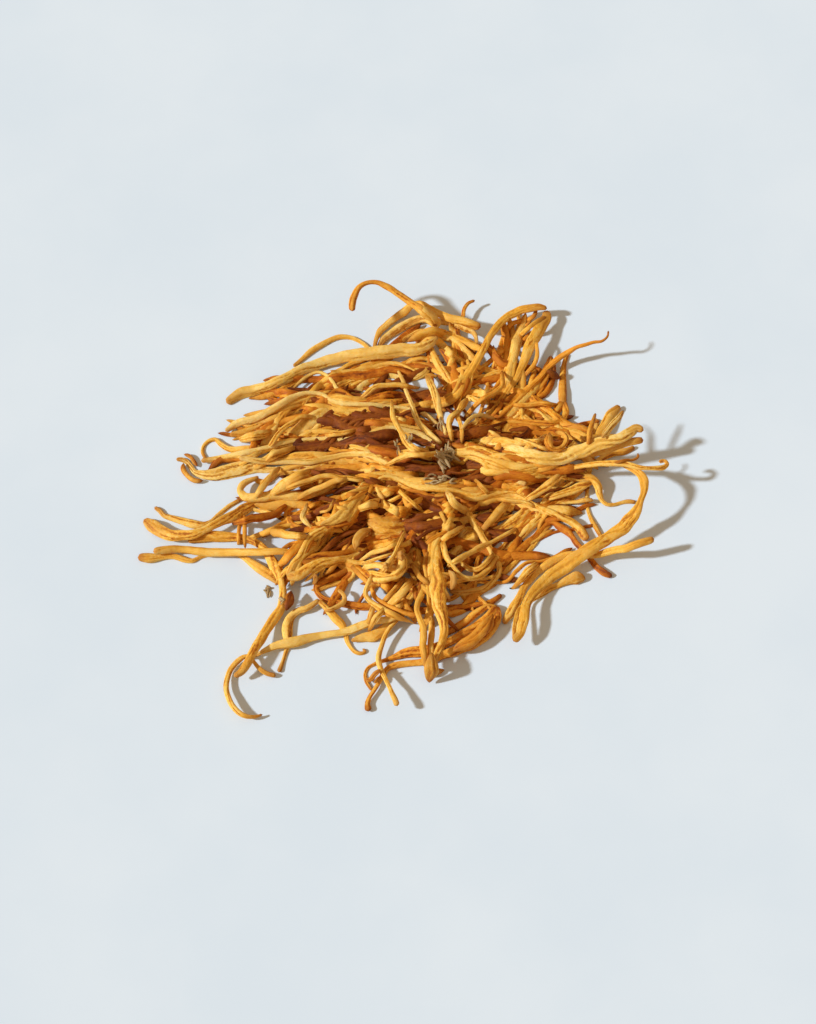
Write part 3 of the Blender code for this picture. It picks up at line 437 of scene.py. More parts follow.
class NodeDesk:
    """Adds and links the nodes of one material."""

    def __init__(self, name):
        self.material = bpy.data.materials.new(name)
        self.material.use_nodes = True
        self.tree = self.material.node_tree
        self.shader = self.tree.nodes["Principled BSDF"]

    def add(self, kind, inputs=(), **settings):
        """Add a node, set its properties, and link or fill its inputs."""
        node = self.tree.nodes.new(kind)
        for key, value in settings.items():
            setattr(node, key, value)
        self.fill(node, inputs)
        return node

    def fill(self, node, inputs):
        """Link each given output, or write each given value, into a node's input."""
        for key, value in dict(inputs).items():
            if isinstance(value, bpy.types.NodeSocket):
                self.tree.links.new(value, node.inputs[key])
            else:
                node.inputs[key].default_value = value

    def value_of(self, layer):
        """A value that was kept on the corners."""
        return self.add("ShaderNodeAttribute", attribute_name=layer).outputs["Fac"]

    def math(self, operation, *values, clamp=False):
        """A sum or another rule on one to three values."""
        settings = {"operation": operation, "use_clamp": clamp}
        return self.add("ShaderNodeMath", enumerate(values), **settings).outputs[0]

    def blend(self, share, first, second):
        """Mix two colours by a share."""
        node = self.add("ShaderNodeMix", data_type="RGBA")
        self.fill_slot(node.inputs[0], share)
        self.fill_slot(node.inputs[6], first)
        self.fill_slot(node.inputs[7], second)
        return node.outputs[2]

    def fill_slot(self, slot, value):
        """Link an output or write a value or colour into one socket."""
        if isinstance(value, bpy.types.NodeSocket):
            self.tree.links.new(value, slot)
        elif isinstance(value, tuple):
            slot.default_value = (*value, 1.0)
        else:
            slot.default_value = value

    def noise(self, where, scale, detail=3.0, rough=0.55, **settings):
        """Cloudy noise from 0 to 1."""
        return self.add("ShaderNodeTexNoise", {"Vector": where, "Scale": scale, "Detail": detail,
                                               "Roughness": rough, **settings}).outputs["Fac"]

    def between(self, value, low, high, start=0.0, end=1.0):
        """Stretch the part of a value that lies between two limits."""
        limits = {"Value": value, "From Min": low, "From Max": high, "To Min": start, "To Max": end}
        return self.add("ShaderNodeMapRange", limits, interpolation_type="SMOOTHSTEP").outputs[0]


def skin_finish(name, ridge, skin, furrow, old):
    """A dried, furrowed skin in one tone, with painted shade down in its furrows."""
    desk = NodeDesk(name)
    where = desk.add("ShaderNodeTexCoord").outputs["Object"]
    route = desk.add("ShaderNodeUVMap", uv_map="route").outputs[0]
    along = desk.add("ShaderNodeMapping", {"Vector": route, "Scale": (9.0, 34.0, 1.0)}).outputs[0]
    patches = desk.noise(where, 120.0)
    specks = desk.noise(where, 900.0, detail=4.0)
    grain = desk.noise(where, 3500.0, detail=3.0)
    streaks = desk.noise(along, 1.0, detail=4.0, rough=0.6)

    depth = desk.value_of("furrow")
    tone = desk.value_of("tone")
    dips = desk.math("ADD", depth, desk.between(streaks, 0.36, 0.62, 0.30, -0.12))
    dips = desk.math("ADD", dips, desk.between(specks, 0.3, 0.7, 0.16, -0.16))
    colour = desk.blend(desk.between(dips, 0.02, 0.42), ridge, skin)
    # Deep in a furrow the colour turns to the dark furrow colour: painted shade in the creases.
    colour = desk.blend(desk.between(dips, 0.40, 0.95), colour, furrow)
    warm = desk.between(desk.math("ADD", patches, tone), 0.42, 0.66)
    colour = desk.blend(desk.math("MULTIPLY", warm, 0.62), colour, skin)
    dust = desk.math("SUBTRACT", specks, desk.math("MULTIPLY", tone, 0.5))
    colour = desk.blend(desk.between(dust, 0.56, 0.74, 0.0, 0.5), colour, ridge)
    worn = desk.math("ADD", desk.value_of("age"), desk.between(patches, 0.35, 0.7, -0.25, 0.25), clamp=True)
    colour = desk.blend(desk.math("MULTIPLY", worn, 0.8), colour, old)

    height = desk.math("ADD", desk.math("MULTIPLY", streaks, 0.8), desk.math("MULTIPLY", specks, 0.7))
    height = desk.math("ADD", height, desk.math("MULTIPLY", grain, 0.35))
    bump = desk.add("ShaderNodeBump", {"Height": height, "Strength": 0.75, "Distance": 0.00028})
    rough = desk.between(specks, 0.25, 0.75, 0.52, 0.76)
    desk.fill(desk.shader, {"Base Color": colour, "Roughness": rough, "Normal": bump.outputs[0],
                            "Subsurface Weight": 0.12, "Subsurface Radius": (1.0, 0.45, 0.12),
                            "Subsurface Scale": 0.0012, "Specular IOR Level": 0.22})
    return desk.material


SKINS = {name: skin_finish(name, **tone) for name, tone in TONES.items()}
# The bed's near black brown is painted shade for the deep gaps between the stalks.
BED_SHADE_SKIN = skin_finish("deep_brown_skin", (0.34, 0.085, 0.003), (0.22, 0.042, 0.001), (0.07, 0.010, 0.001),
                        (0.07, 0.011, 0.001))
GREY_SKIN = skin_finish("dry_mycelium", (0.56, 0.39, 0.20), (0.40, 0.235, 0.085), (0.13, 0.055, 0.012),
                        (0.20, 0.10, 0.03))
print("finishes:", ", ".join(SKINS))

# %% [markdown]
# Each plain tube is now replaced by its wrinkled stalk. A clump is one solid with several stalks, so
# its stalks go into one mesh as well. Thick stalks carry more furrows than thin ones.

# %% Grow every main stalk
def grow_node(node):
    """The wrinkled stalk or clump that stands for one plain solid."""
    form = new_form()
    rng = np.random.default_rng(zlib.crc32(node.encode()))
    for number, rows in enumerate(LINES[node]):
        width = rows[:, 3].max() / MILLIMETRE
        grow_stalk(form, rows, node + str(number), furrows=int(np.clip(2 + 2.2 * width, 3, 8)),
                   depth=rng.uniform(0.12, 0.24), twist=rng.uniform(-0.07, 0.07),
                   tone=rng.uniform(-0.08, 0.12))
    return finish_piece(form, "skin_" + node, SKINS[SLOTS[node]], [node])


skins = [grow_node(node) for node in STACK]
print(len(skins), "skins,", sum(len(piece.data.polygons) for piece in skins), "faces")

# %% [markdown]
# Many more stalks, twigs, curls and torn strips lie between the main stalks and on them. Each is drawn
# by a few places in the picture with its width there, and must rest on what carries it. For that a
# depth map is kept: for each place in the picture, how far from the camera the nearest thing lies.
# Each stalk that is laid down is written into the map, so that the next one can lie on it.

# %% The depth map
WINDOW = (100, 240, 760, 760)
MAP_SIZE = (WINDOW[3] - WINDOW[1], WINDOW[2] - WINDOW[0])


def sight_through(u, v):
    """The direction from the camera through places in the picture."""
    u, v = np.asarray(u, float)[..., None], np.asarray(v, float)[..., None]
    way = (np.array(FORWARD) + np.array(RIGHT) * ((u - PICTURE[0] / 2) / FOCAL_PIXELS)
           - np.array(UP) * ((v - PICTURE[1] / 2) / FOCAL_PIXELS))
    return way / np.linalg.norm(way, axis=-1, keepdims=True)


def seen_at(places):
    """Where places in space lie in the picture, and how far from the camera."""
    arms = places - np.array(EYE)
    ahead = arms @ np.array(FORWARD)
    u = PICTURE[0] / 2 + FOCAL_PIXELS * (arms @ np.array(RIGHT)) / ahead
    v = PICTURE[1] / 2 - FOCAL_PIXELS * (arms @ np.array(UP)) / ahead
    return u, v, np.linalg.norm(arms, axis=1)


def cell(u, v):
    """Row and column of a place in the map."""
    row = np.clip(np.rint(v - WINDOW[1]).astype(int), 0, MAP_SIZE[0] - 1)
    column = np.clip(np.rint(u - WINDOW[0]).astype(int), 0, MAP_SIZE[1] - 1)
    return row, column


def write_depth(depths, rows):
    """Write a stalk's near side into a map."""
    length = np.linalg.norm(np.diff(rows[:, :3], axis=0), axis=1).sum()
    line, _ = smooth_line(rows, max(8, int(length / (PIXEL * 0.6))))
    u, v, far = seen_at(line[:, :3])
    heading = np.stack([np.gradient(u), np.gradient(v)])
    heading /= np.maximum(np.linalg.norm(heading, axis=0), 1e-9)
    half = line[:, 3] / far * FOCAL_PIXELS
    for share in np.linspace(-1, 1, 2 * int(np.ceil(half.max())) + 5):
        place = cell(u - heading[1] * half * share, v + heading[0] * half * share)
        np.minimum.at(depths, place, far - line[:, 4] * math.sqrt(max(0.0, 1 - share * share)))


grid_v, grid_u = np.mgrid[WINDOW[1]:WINDOW[3], WINDOW[0]:WINDOW[2]]
FLOOR_DEPTH = -EYE.z / sight_through(grid_u, grid_v)[..., 2]
NODE_DEPTHS = []
for node in STACK:
    depths = np.full(MAP_SIZE, np.inf)
    for rows in LINES[node]:
        write_depth(depths, rows)
    NODE_DEPTHS.append(depths)
laid_depth = FLOOR_DEPTH.copy()
BELOW = {}
MAIN_DEPTH = np.minimum.reduce(NODE_DEPTHS)
NEAR_REACH = 3
DEEP_GAP = 0.5 * MILLIMETRE


def widened(depths, reach):
    """The nearest depth within a few places of each place."""
    near = depths.copy()
    for axis in (0, 1):
        near = np.minimum.reduce([np.roll(near, step, axis) for step in range(-reach, reach + 1)])
    return near


DEEP_LIMIT = widened(MAIN_DEPTH, NEAR_REACH) + DEEP_GAP
BED_REACH = 16
BED_GAP = 3.5 * MILLIMETRE
BED_LIMIT = widened(MAIN_DEPTH, BED_REACH) + BED_GAP
CLUMP_REACH = 4
IN_CLUMP = np.isfinite(widened(MAIN_DEPTH, CLUMP_REACH))
print("depth map", MAP_SIZE)

# %% [markdown]
# Like a real dry twig, a piece that is laid down keeps from bending sharply: it rests on the high
# places and bridges the low ones. A stalk that lies under a main stalk is also kept behind it.

# %% Lay a piece on what carries it
GAP = 0.10 * MILLIMETRE
STEEPEST = 0.75
SAG_PER_METRE = 34.0
LAY_STEP = 0.9 * MILLIMETRE
SETTLE_ROUNDS = 260
EASE_ROUNDS = 6
LEAST_WIDTH = 0.8
TUCK_PIXELS = 8.0
TUCK_DEPTH = 2.6 * MILLIMETRE
TUCK_REACH = 1.6 * TUCK_PIXELS * PIXEL
SHARES_ACROSS = (-0.42, -0.2, 0.0, 0.2, 0.42)


def depth_beside(depths, places, side, widths):
    """The nearest depth under the middle and both sides of a drawn line."""
    near = np.full(len(places), np.inf)
    for share in SHARES_ACROSS:
        shifted = places + side * widths[:, None] * share
        near = np.minimum(near, depths[cell(shifted[:, 0], shifted[:, 1])])
    return near


def tucked_in(route):
    """The route drawn on at both ends, where it dips out of sight under its neighbours."""
    ends = []
    for end, inner in ((route[0], route[1]), (route[-1], route[-2])):
        way = (end[:2] - inner[:2]) / np.linalg.norm(end[:2] - inner[:2])
        ends.append(np.array([*(end[:2] + way * TUCK_PIXELS), end[2] * 0.6]))
    return np.vstack([ends[0], route, ends[1]])


def lay(route, level, flat=0.9, under=None, tucked=False, kept=True):
    """Rows of place, half width and half thickness for a piece drawn in the picture and laid down.

    It rests on the main stalks up to a level and stays behind what the depth map under holds. Tucked
    ends dip out of sight. A piece that isn't kept carries nothing that is laid down later.
    """
    route = np.array(route, float)
    route = tucked_in(route) if tucked else route
    drawn = np.linalg.norm(np.diff(route[:, :2], axis=0), axis=1).sum() * PIXEL
    line, _ = smooth_line(np.column_stack([route[:, :2] * PIXEL, 0 * route[:, 2], route[:, 2]]),
                          max(6, int(drawn / LAY_STEP)))
    places, widths = line[:, :2] / PIXEL, np.maximum(line[:, 3], LEAST_WIDTH)
    heading = np.gradient(places, axis=0)
    side = np.column_stack([-heading[:, 1], heading[:, 0]])
    side /= np.maximum(np.linalg.norm(side, axis=1, keepdims=True), 1e-9)
    if level not in BELOW:
        BELOW[level] = np.minimum.reduce(NODE_DEPTHS[:level + 1])
    below = np.minimum(laid_depth, BELOW[level])
    far = depth_beside(below, places, side, widths)
    half = widths * far / FOCAL_PIXELS / 2
    bound = far - half * flat - GAP
    spots = np.concatenate([[0.0], np.cumsum(np.linalg.norm(np.diff(places, axis=0), axis=1))]) * PIXEL
    apart = np.abs(spots[:, None] - spots[None, :])
    bound = (bound[None, :] + STEEPEST * apart).min(axis=1)
    sag = SAG_PER_METRE * (spots[-1] / (len(spots) - 1))**2 / 2
    depth = bound.copy()
    for _ in range(SETTLE_ROUNDS):
        depth[1:-1] = np.minimum(depth[1:-1], (depth[:-2] + depth[2:]) / 2 + sag)
    if under is not None:
        near = depth_beside(under, places, side, widths)
        limit = np.where(np.isfinite(near), near + half * flat + 3 * GAP, -np.inf)
        for _ in range(EASE_ROUNDS):
            depth = np.maximum(depth, limit)
            depth[1:-1] = (depth[:-2] + 2 * depth[1:-1] + depth[2:]) / 4
        depth = np.minimum(np.maximum(depth, limit), FLOOR_DEPTH[cell(*places.T)] - half * flat * 0.6)
    if tucked:
        end = np.minimum(spots, spots[-1] - spots) / TUCK_REACH
        depth = depth + TUCK_DEPTH * np.clip(1 - end, 0, 1)**2
    middles = np.array(EYE) + sight_through(*places.T) * depth[:, None]
    rows = np.column_stack([middles, half, half * flat])
    if kept:
        write_depth(laid_depth, rows)
    return rows


print("a laid piece keeps", GAP, "off what carries it")

# %% [markdown]
# Deep in the clump the stalks lie too close to be told apart one by one. They follow a few main
# streams that can be seen in the picture, so each stream is drawn as one guiding line with a width,
# and stalks are strewn along it: each starts and ends somewhere on the guide, keeps to one side of it
# and wanders a little. The deepest are laid first, under the main stalks, and are painted browner as
# shade. The first three streams are the bed that shows in the gaps, painted near black as shade.

# %% Stalks deep in the clump
PALE, GOLD, ORANGE, BROWN = TONES
STREAMS = [
    (34, 34, [(290, 440), (350, 422), (430, 412), (480, 430)]),
    (36, 40, [(270, 480), (360, 470), (470, 470), (590, 460)]),
    (30, 38, [(290, 560), (360, 530), (430, 515), (520, 490)]),
    (9, 12, [(280, 400), (320, 384), (370, 366), (440, 356)]),
    (14, 22, [(252, 434), (300, 414), (380, 392), (460, 390)]),
    (12, 18, [(207, 458), (280, 446), (360, 432), (440, 428)]),
    (14, 20, [(215, 474), (300, 468), (400, 458), (500, 462), (600, 452)]),
    (15, 22, [(258, 500), (330, 480), (420, 478), (510, 488), (580, 486)]),
    (14, 22, [(440, 436), (500, 446), (570, 448), (628, 442)]),
    (16, 28, [(420, 590), (460, 545), (520, 500), (586, 474)]),
    (11, 22, [(440, 606), (490, 568), (540, 520), (586, 490)]),
    (14, 24, [(280, 588), (310, 550), (345, 515), (385, 480)]),
    (12, 22, [(300, 580), (350, 560), (410, 530), (460, 500)]),
    (10, 16, [(350, 598), (400, 580), (450, 580), (496, 588)]),
    (10, 12, [(395, 500), (410, 545), (425, 590), (430, 630)]),
    (13, 18, [(405, 322), (440, 345), (452, 385), (440, 430)]),
    (12, 18, [(440, 335), (480, 355), (500, 395), (480, 430)]),
    (7, 10, [(450, 425), (490, 375), (520, 335), (540, 312)]),
    (7, 10, [(480, 440), (520, 410), (548, 375), (550, 345)]),
    (10, 14, [(455, 430), (510, 420), (560, 425), (605, 440)]),
    (12, 18, [(240, 508), (290, 515), (340, 530), (400, 535)]),
    (22, 18, [(310, 440), (350, 432), (400, 426), (450, 420)]),
    (18, 16, [(370, 508), (410, 516), (450, 520), (500, 508)]),
    (14, 12, [(400, 470), (450, 478), (500, 474), (560, 466)]),
]
DEPTHS = (6, 18, 30, 42)
BED_STREAMS = 3
SHORTEST = 5
GUIDE_SPOTS = 60
ROUTE_SPOTS = 12
# Browner tones for the deeper layers are painted shade: the deeper a stalk lies in the clump, the darker it
# is painted.
DEPTH_SHADE_TONES = (BROWN, BROWN, ORANGE, GOLD, GOLD)


def strewn(rng, guide, spread):
    """One wandering route beside a guide, with its widths, or nothing if it leaves the clump."""
    guide = np.array(guide, float)
    line, spots = smooth_line(np.column_stack([guide, np.zeros(len(guide))]), GUIDE_SPOTS)
    reach = rng.uniform(0.35, 0.75)
    start = rng.uniform(-0.04, 1.04 - reach)
    picked = np.clip(np.linspace(start, start + reach, ROUTE_SPOTS), 0, 1) * (GUIDE_SPOTS - 1)
    places = np.column_stack([np.interp(picked, np.arange(GUIDE_SPOTS), line[:, axis]) for axis in (0, 1)])
    heading = np.gradient(places, axis=0)
    side = np.column_stack([-heading[:, 1], heading[:, 0]])
    side /= np.maximum(np.linalg.norm(side, axis=1, keepdims=True), 1e-9)
    span = np.linspace(0, reach * spots[-1], ROUTE_SPOTS)
    offset = (rng.uniform(-1, 1) * spread + rng.normal(0, 20) * np.linspace(-1, 1, ROUTE_SPOTS)
              + rng.uniform(3, 12) * wander(rng, span, rng.uniform(22, 40)))
    places += side * offset[:, None]
    thick = 4.5 + 7.5 * rng.uniform(0, 1)**2
    widths = thick * (0.85 + 0.25 * wander(rng, span, 22.0))
    inside = np.flatnonzero(IN_CLUMP[cell(places[:, 0], places[:, 1])])
    if len(inside) < SHORTEST:
        return None
    return np.column_stack([places, widths])[inside[0]:inside[-1] + 1]


def strew_stalks():
    """All the deep stalks, in one mesh for each depth and tone."""
    rng = np.random.default_rng(11)
    total = 0
    for depth, level in enumerate(DEPTHS):
        forms = {}
        for number, (count, spread, guide) in enumerate(STREAMS):
            bed = number < BED_STREAMS
            if bed:
                layers = count if depth == 0 else 0
            else:
                layers = (count + 2) // 4
            for index in range(layers):
                # Deeper layers take browner tones as painted shade.
                tone = "bed" if bed else DEPTH_SHADE_TONES[depth + rng.integers(0, 2)]
                route = strewn(rng, guide, spread)
                if route is None:
                    continue
                rows = lay(route, level, rng.uniform(0.6, 0.95), BED_LIMIT if bed else DEEP_LIMIT)
                form = forms.setdefault(tone, new_form())
                grow_stalk(form, rows, f"deep{depth}_{number}_{index}", furrows=3, depth=0.26,
                           twist=rng.uniform(-0.1, 0.1), tone=rng.uniform(-0.05, 0.15), taper=4,
                           step=0.8 * MILLIMETRE, sides=14)
                total += 1
        for tone, form in forms.items():
            # The bed stalks wear the painted shade finish.
            if tone == "bed":
                finish_piece(form, "bed_stalks", BED_SHADE_SKIN)
            else:
                finish_piece(form, f"deep_stalks_{depth + 1}_{tone.split('_')[0]}", SKINS[tone])
    print(total, "deep stalks")


strew_stalks()

# %% [markdown]
# The pieces are listed from the picture: the tone of the skin, the main stalk that they lie on at most
# (none for the very top), how flat they are, and their places with widths. Curls and knobs come first,
# then twigs, strips and folds, and last two pale cut ends and the base at the front.

# %% The small pieces, as drawn from the picture
TOP = None
SMALL = [
    (GOLD, TOP, 0.9, [(401, 556.5, 8), (402.9, 564.4, 9), (397.7, 573.8, 9), (390.4, 578, 7), (382, 580, 6),
                      (374.8, 580, 5)]),
    (GOLD, TOP, 0.9, [(385.7, 567.5, 7), (394, 555, 4), (402, 538, 4)]),
    (GOLD, TOP, 0.9, [(370, 580, 4), (366.5, 587.3, 4.5), (365.4, 593.5, 5), (368.5, 599.8, 5),
                      (374.8, 605, 6), (388.3, 612.9, 7), (397.7, 617, 6), (402.9, 619, 5),
                      (409, 621.3, 2.5)]),
    (GOLD, "front_left_strand", 0.9, [(444, 546.7, 6), (446.3, 557, 6), (453.5, 566.5, 4),
                                      (460.8, 574.8, 4), (467, 577.9, 5), (475.4, 577.9, 5),
                                      (483.8, 573.8, 6), (490, 566.5, 6), (494, 560, 5)]),
    (GOLD, "front_left_strand", 0.9, [(462.9, 564.4, 4), (469.2, 568.5, 5), (476.5, 569.6, 5),
                                      (483.8, 565.4, 5), (489, 559.2, 5)]),
    (PALE, TOP, 0.9, [(430, 383, 7), (434, 391, 7), (436, 398, 7.5), (438, 406.5, 7), (440.2, 413.8, 6),
                      (442, 422, 5), (445, 431, 4.5)]),
    (PALE, TOP, 0.9, [(399.6, 374, 3), (403.5, 382, 4), (406, 391, 4), (410.5, 401.5, 4), (414, 412, 5),
                      (418, 421, 5), (424, 429, 6), (431, 435.5, 6), (438, 441, 5)]),
    (ORANGE, TOP, 0.9, [(184.6, 454.5, 4), (190, 456.5, 4), (194, 461.5, 4), (197, 466, 4)]),
    (ORANGE, TOP, 0.9, [(183.5, 464, 5), (183.5, 470, 5), (188, 476, 5), (195, 480.5, 5), (202, 480.5, 5)]),
    (GOLD, TOP, 0.9, [(366, 394, 5), (375, 387, 5), (386, 385.5, 5), (400, 385, 5), (412, 387, 4)]),
    (GOLD, TOP, 0.9, [(246, 438, 8), (256, 435, 9), (266, 433, 8)]),
    (GOLD, TOP, 0.9, [(272, 443, 5), (278, 434.5, 5), (285.5, 427, 5), (293, 422, 5), (301, 417, 5),
                      (308.5, 417, 5)]),
    (GOLD, TOP, 0.7, [(269, 459.5, 5), (274, 455.5, 8), (282.5, 452, 7), (291, 449, 5)]),
    (GOLD, TOP, 0.7, [(274, 473, 6), (267, 481, 7), (261, 489, 7), (256, 496, 5)]),
    (GOLD, TOP, 0.6, [(304, 474, 8), (293, 480, 12), (284, 486, 12), (275, 492, 8)]),
    (GOLD, TOP, 0.9, [(330.8, 434.6, 5), (341.3, 433.5, 5), (350, 431.5, 4)]),
    (GOLD, TOP, 0.9, [(463, 405, 7), (459, 411, 5), (457, 416, 5), (460, 422, 4), (462, 429, 4),
                      (462, 436, 4)]),
    (GOLD, TOP, 0.9, [(456, 413, 4), (450.5, 417, 5), (449, 425, 5), (451, 434, 5)]),
    (GOLD, TOP, 0.9, [(392, 408, 4), (392.3, 413.8, 5), (395.4, 422, 5), (400.6, 432.5, 4),
                      (403.8, 440.8, 4), (411, 449, 4), (420.4, 453.3, 4)]),
    (GOLD, TOP, 0.9, [(403.8, 434.6, 4), (409, 443, 4), (418.3, 449, 4), (426.7, 452.3, 4)]),
    (GOLD, "left_flat_long", 0.9, [(290, 487, 5), (300, 483, 6), (310, 480, 6), (320.4, 476.3, 6),
                                   (330.8, 475.2, 6), (340, 477.8, 5.5), (349.6, 478.3, 5),
                                   (362, 480.4, 5)]),
    (GOLD, "left_flat_long", 0.9, [(300, 497, 5), (311, 491, 6), (322.5, 486.7, 6), (333, 481.5, 6),
                                   (343, 479, 5)]),
    (GOLD, TOP, 0.9, [(391, 462.7, 4), (399.6, 458.5, 5), (408, 455.4, 5), (418, 454.9, 5),
                      (428.8, 454.4, 5), (439, 453.3, 5)]),
    (ORANGE, TOP, 0.9, [(615, 463, 3), (626.5, 460, 3), (633.8, 459.7, 2.5), (637.9, 457, 2.5),
                        (637.9, 453.4, 2.5)]),
    (GOLD, TOP, 0.9, [(479, 484, 4), (486.3, 491.5, 4.5)]),
    (ORANGE, TOP, 0.9, [(536.8, 345, 3), (537, 357, 4), (534, 365, 4), (528, 372, 4)]),
    (BROWN, TOP, 0.9, [(548, 371, 8), (559, 378, 8)]),
    (ORANGE, TOP, 0.9, [(502, 379, 5), (502, 385, 5), (495.8, 391.5, 5), (486.5, 396.7, 5), (476, 405, 5),
                        (469, 413, 5)]),
    (ORANGE, TOP, 0.9, [(517.5, 405, 4), (529, 404.5, 5), (540.4, 403.4, 5), (550.8, 404.5, 5)]),
    (PALE, TOP, 0.9, [(464.4, 425.8, 4), (468.5, 420.6, 4), (473.8, 416.5, 4), (480, 415, 4),
                      (488, 417, 4)]),
    (GOLD, TOP, 0.9, [(521.7, 440.4, 4), (529, 442.5, 4), (537.3, 445.6, 4), (545.6, 448.8, 4)]),
    (ORANGE, TOP, 0.9, [(549, 434, 8), (548.5, 442, 9), (551, 448, 6), (558, 449, 5), (564.5, 445, 5),
                        (566.5, 439, 5), (563, 434, 5), (556, 432, 5)]),
    (PALE, TOP, 0.6, [(602.5, 437.3, 6), (608.8, 429, 6), (615, 421.7, 6), (619.7, 416.5, 5),
                      (623.3, 410.7, 3)]),
    (ORANGE, TOP, 0.9, [(589, 440.4, 5), (590, 430, 5), (593, 421, 4)]),
    (GOLD, TOP, 0.7, [(533.8, 567.3, 8), (526.5, 573.5, 8), (520.2, 580.8, 6), (515, 586, 4)]),
    (GOLD, TOP, 0.7, [(530, 497.7, 6), (540.4, 490.4, 7), (549.8, 484, 8), (556, 478, 6)]),
    (GOLD, TOP, 0.6, [(553, 497, 6), (566, 492.5, 8), (580, 487.5, 9), (588, 484, 6)]),
    (GOLD, "front_left_strand", 0.9, [(441.5, 541.5, 6), (449.8, 535.2, 7), (458, 530, 6)]),
    (GOLD, TOP, 0.7, [(485.8, 525.8, 6), (496.3, 515.4, 9), (504.6, 505, 8)]),
    (GOLD, TOP, 0.9, [(502.5, 499.8, 4), (512.9, 500.8, 4), (523.3, 501.9, 4), (531.7, 505, 4)]),
    (GOLD, "front_left_strand", 0.9, [(453, 563, 5), (460.8, 558, 6), (470.2, 552.9, 5), (479.6, 547.7, 6),
                                      (490, 543, 4), (500.4, 537.3, 4), (512, 531, 4)]),
    (PALE, TOP, 0.6, [(450.8, 497.7, 7), (455, 504, 8), (462.3, 509, 7)]),
    (GOLD, "front_left_strand", 0.9, [(434, 501, 4), (439.4, 510, 4), (442.5, 516.5, 4),
                                      (444.6, 520.6, 4)]),
    (GOLD, "middle_under", 0.7, [(352.9, 512.3, 6), (361.3, 508, 7), (371.7, 504, 9), (381, 503, 10),
                                 (385, 505, 7)]),
    (GOLD, "left_flared_long", 0.9, [(396.7, 541.5, 6), (388.3, 547.7, 6), (379, 550.8, 6),
                                     (371.7, 552.9, 5), (364.4, 558, 4)]),
    (GOLD, "left_flared_long", 0.9, [(388.3, 555, 3), (379, 558, 3.5), (369.6, 561.3, 3.5)]),
    (GOLD, TOP, 0.9, [(415.4, 570, 5), (419.6, 576.9, 5), (425.8, 582, 5)]),
    (GOLD, "lower_flat", 0.7, [(412, 580, 6), (401.9, 593.5, 8), (394.6, 600.8, 8), (388, 607, 8),
                               (380, 613, 7), (372, 618, 6)]),
    (GOLD, "lower_flat", 0.9, [(400, 583, 5), (393, 591, 5), (386, 599, 5)]),
    (GOLD, "lower_flat", 0.9, [(414, 592, 5), (406, 600, 6), (398, 607, 6)]),
    (PALE, "front_left_strand", 0.9, [(449, 571, 5), (453.5, 577, 7), (453.5, 584, 7), (451, 590, 4)]),
    (PALE, TOP, 0.9, [(315, 574, 4), (316, 579, 5), (313, 584, 4)]),
    (GOLD, TOP, 0.9, [(324.6, 610.8, 4), (332.9, 608.8, 4), (339.2, 605.6, 5), (344.4, 600.4, 5),
                      (344, 595.6, 4), (337.7, 589.4, 3.5)]),
    (ORANGE, TOP, 0.9, [(240.8, 521.7, 4), (239.3, 530, 4), (238.8, 538.3, 4)]),
    (ORANGE, TOP, 0.9, [(244.6, 522, 4), (245, 540, 4)]),
    (BROWN, TOP, 0.9, [(239.8, 521.7, 6), (251, 518.5, 8), (263.8, 516.5, 8), (275, 514, 7),
                       (283, 508, 6)]),
    (GOLD, TOP, 0.6, [(355.4, 548.8, 6), (357.5, 539.4, 9), (362.7, 533, 9), (370, 529.5, 7)]),
    (GOLD, TOP, 0.9, [(276.3, 532, 9), (284.6, 534.2, 9), (293, 535.2, 8), (301.3, 536.3, 7)]),
    (PALE, TOP, 0.9, [(305, 511, 5), (303, 517, 6), (306, 522, 5), (309, 525, 3)]),
    (GOLD, TOP, 0.9, [(331, 506, 3), (329, 510, 3), (323, 511.5, 3)]),
    (BROWN, TOP, 0.9, [(291, 592, 7), (289, 600.4, 9), (287, 608.8, 9)]),
    (ORANGE, TOP, 0.9, [(380, 670, 5), (374.8, 674.4, 5), (369.6, 680, 5), (366, 679, 4)]),
    (ORANGE, TOP, 0.9, [(380, 676.5, 4), (374.8, 682.7, 4)]),
    (GOLD, TOP, 0.9, [(428, 676, 6), (436, 672, 7), (444, 670, 4)]),
    (GOLD, TOP, 0.9, [(371.7, 611.9, 6), (369.6, 620, 6)]),
    (GOLD, TOP, 0.9, [(381, 612, 5), (375.8, 618, 6), (372, 625, 5)]),
    (PALE, TOP, 1.0, [(399, 557, 9), (401.5, 556.5, 10), (404, 556.5, 8)]),
    (PALE, TOP, 1.0, [(384, 567, 7), (386.5, 566, 8), (389, 565, 6)]),
    (GOLD, TOP, 0.7, [(431, 655, 12), (430.5, 666, 14), (430, 674, 15), (429.5, 680, 14)]),
    (ORANGE, TOP, 0.6, [(455, 650, 11), (470, 641, 13), (484, 629, 13), (492, 616, 10)]),
]

print(len(SMALL), "small pieces drawn")

# %% [markdown]
# Most of these pieces come out from under their neighbours, so their ends are drawn on until they dip
# out of sight. A few have free ends, such as the curls, and are left as they are drawn.

# %% Lay and grow the small pieces
FREE_ENDS = (7, 8, 23, 26, 31, 32, 50, 51, 52, 56, 60, 61, 62, 63, 66, 67, 68, 69)


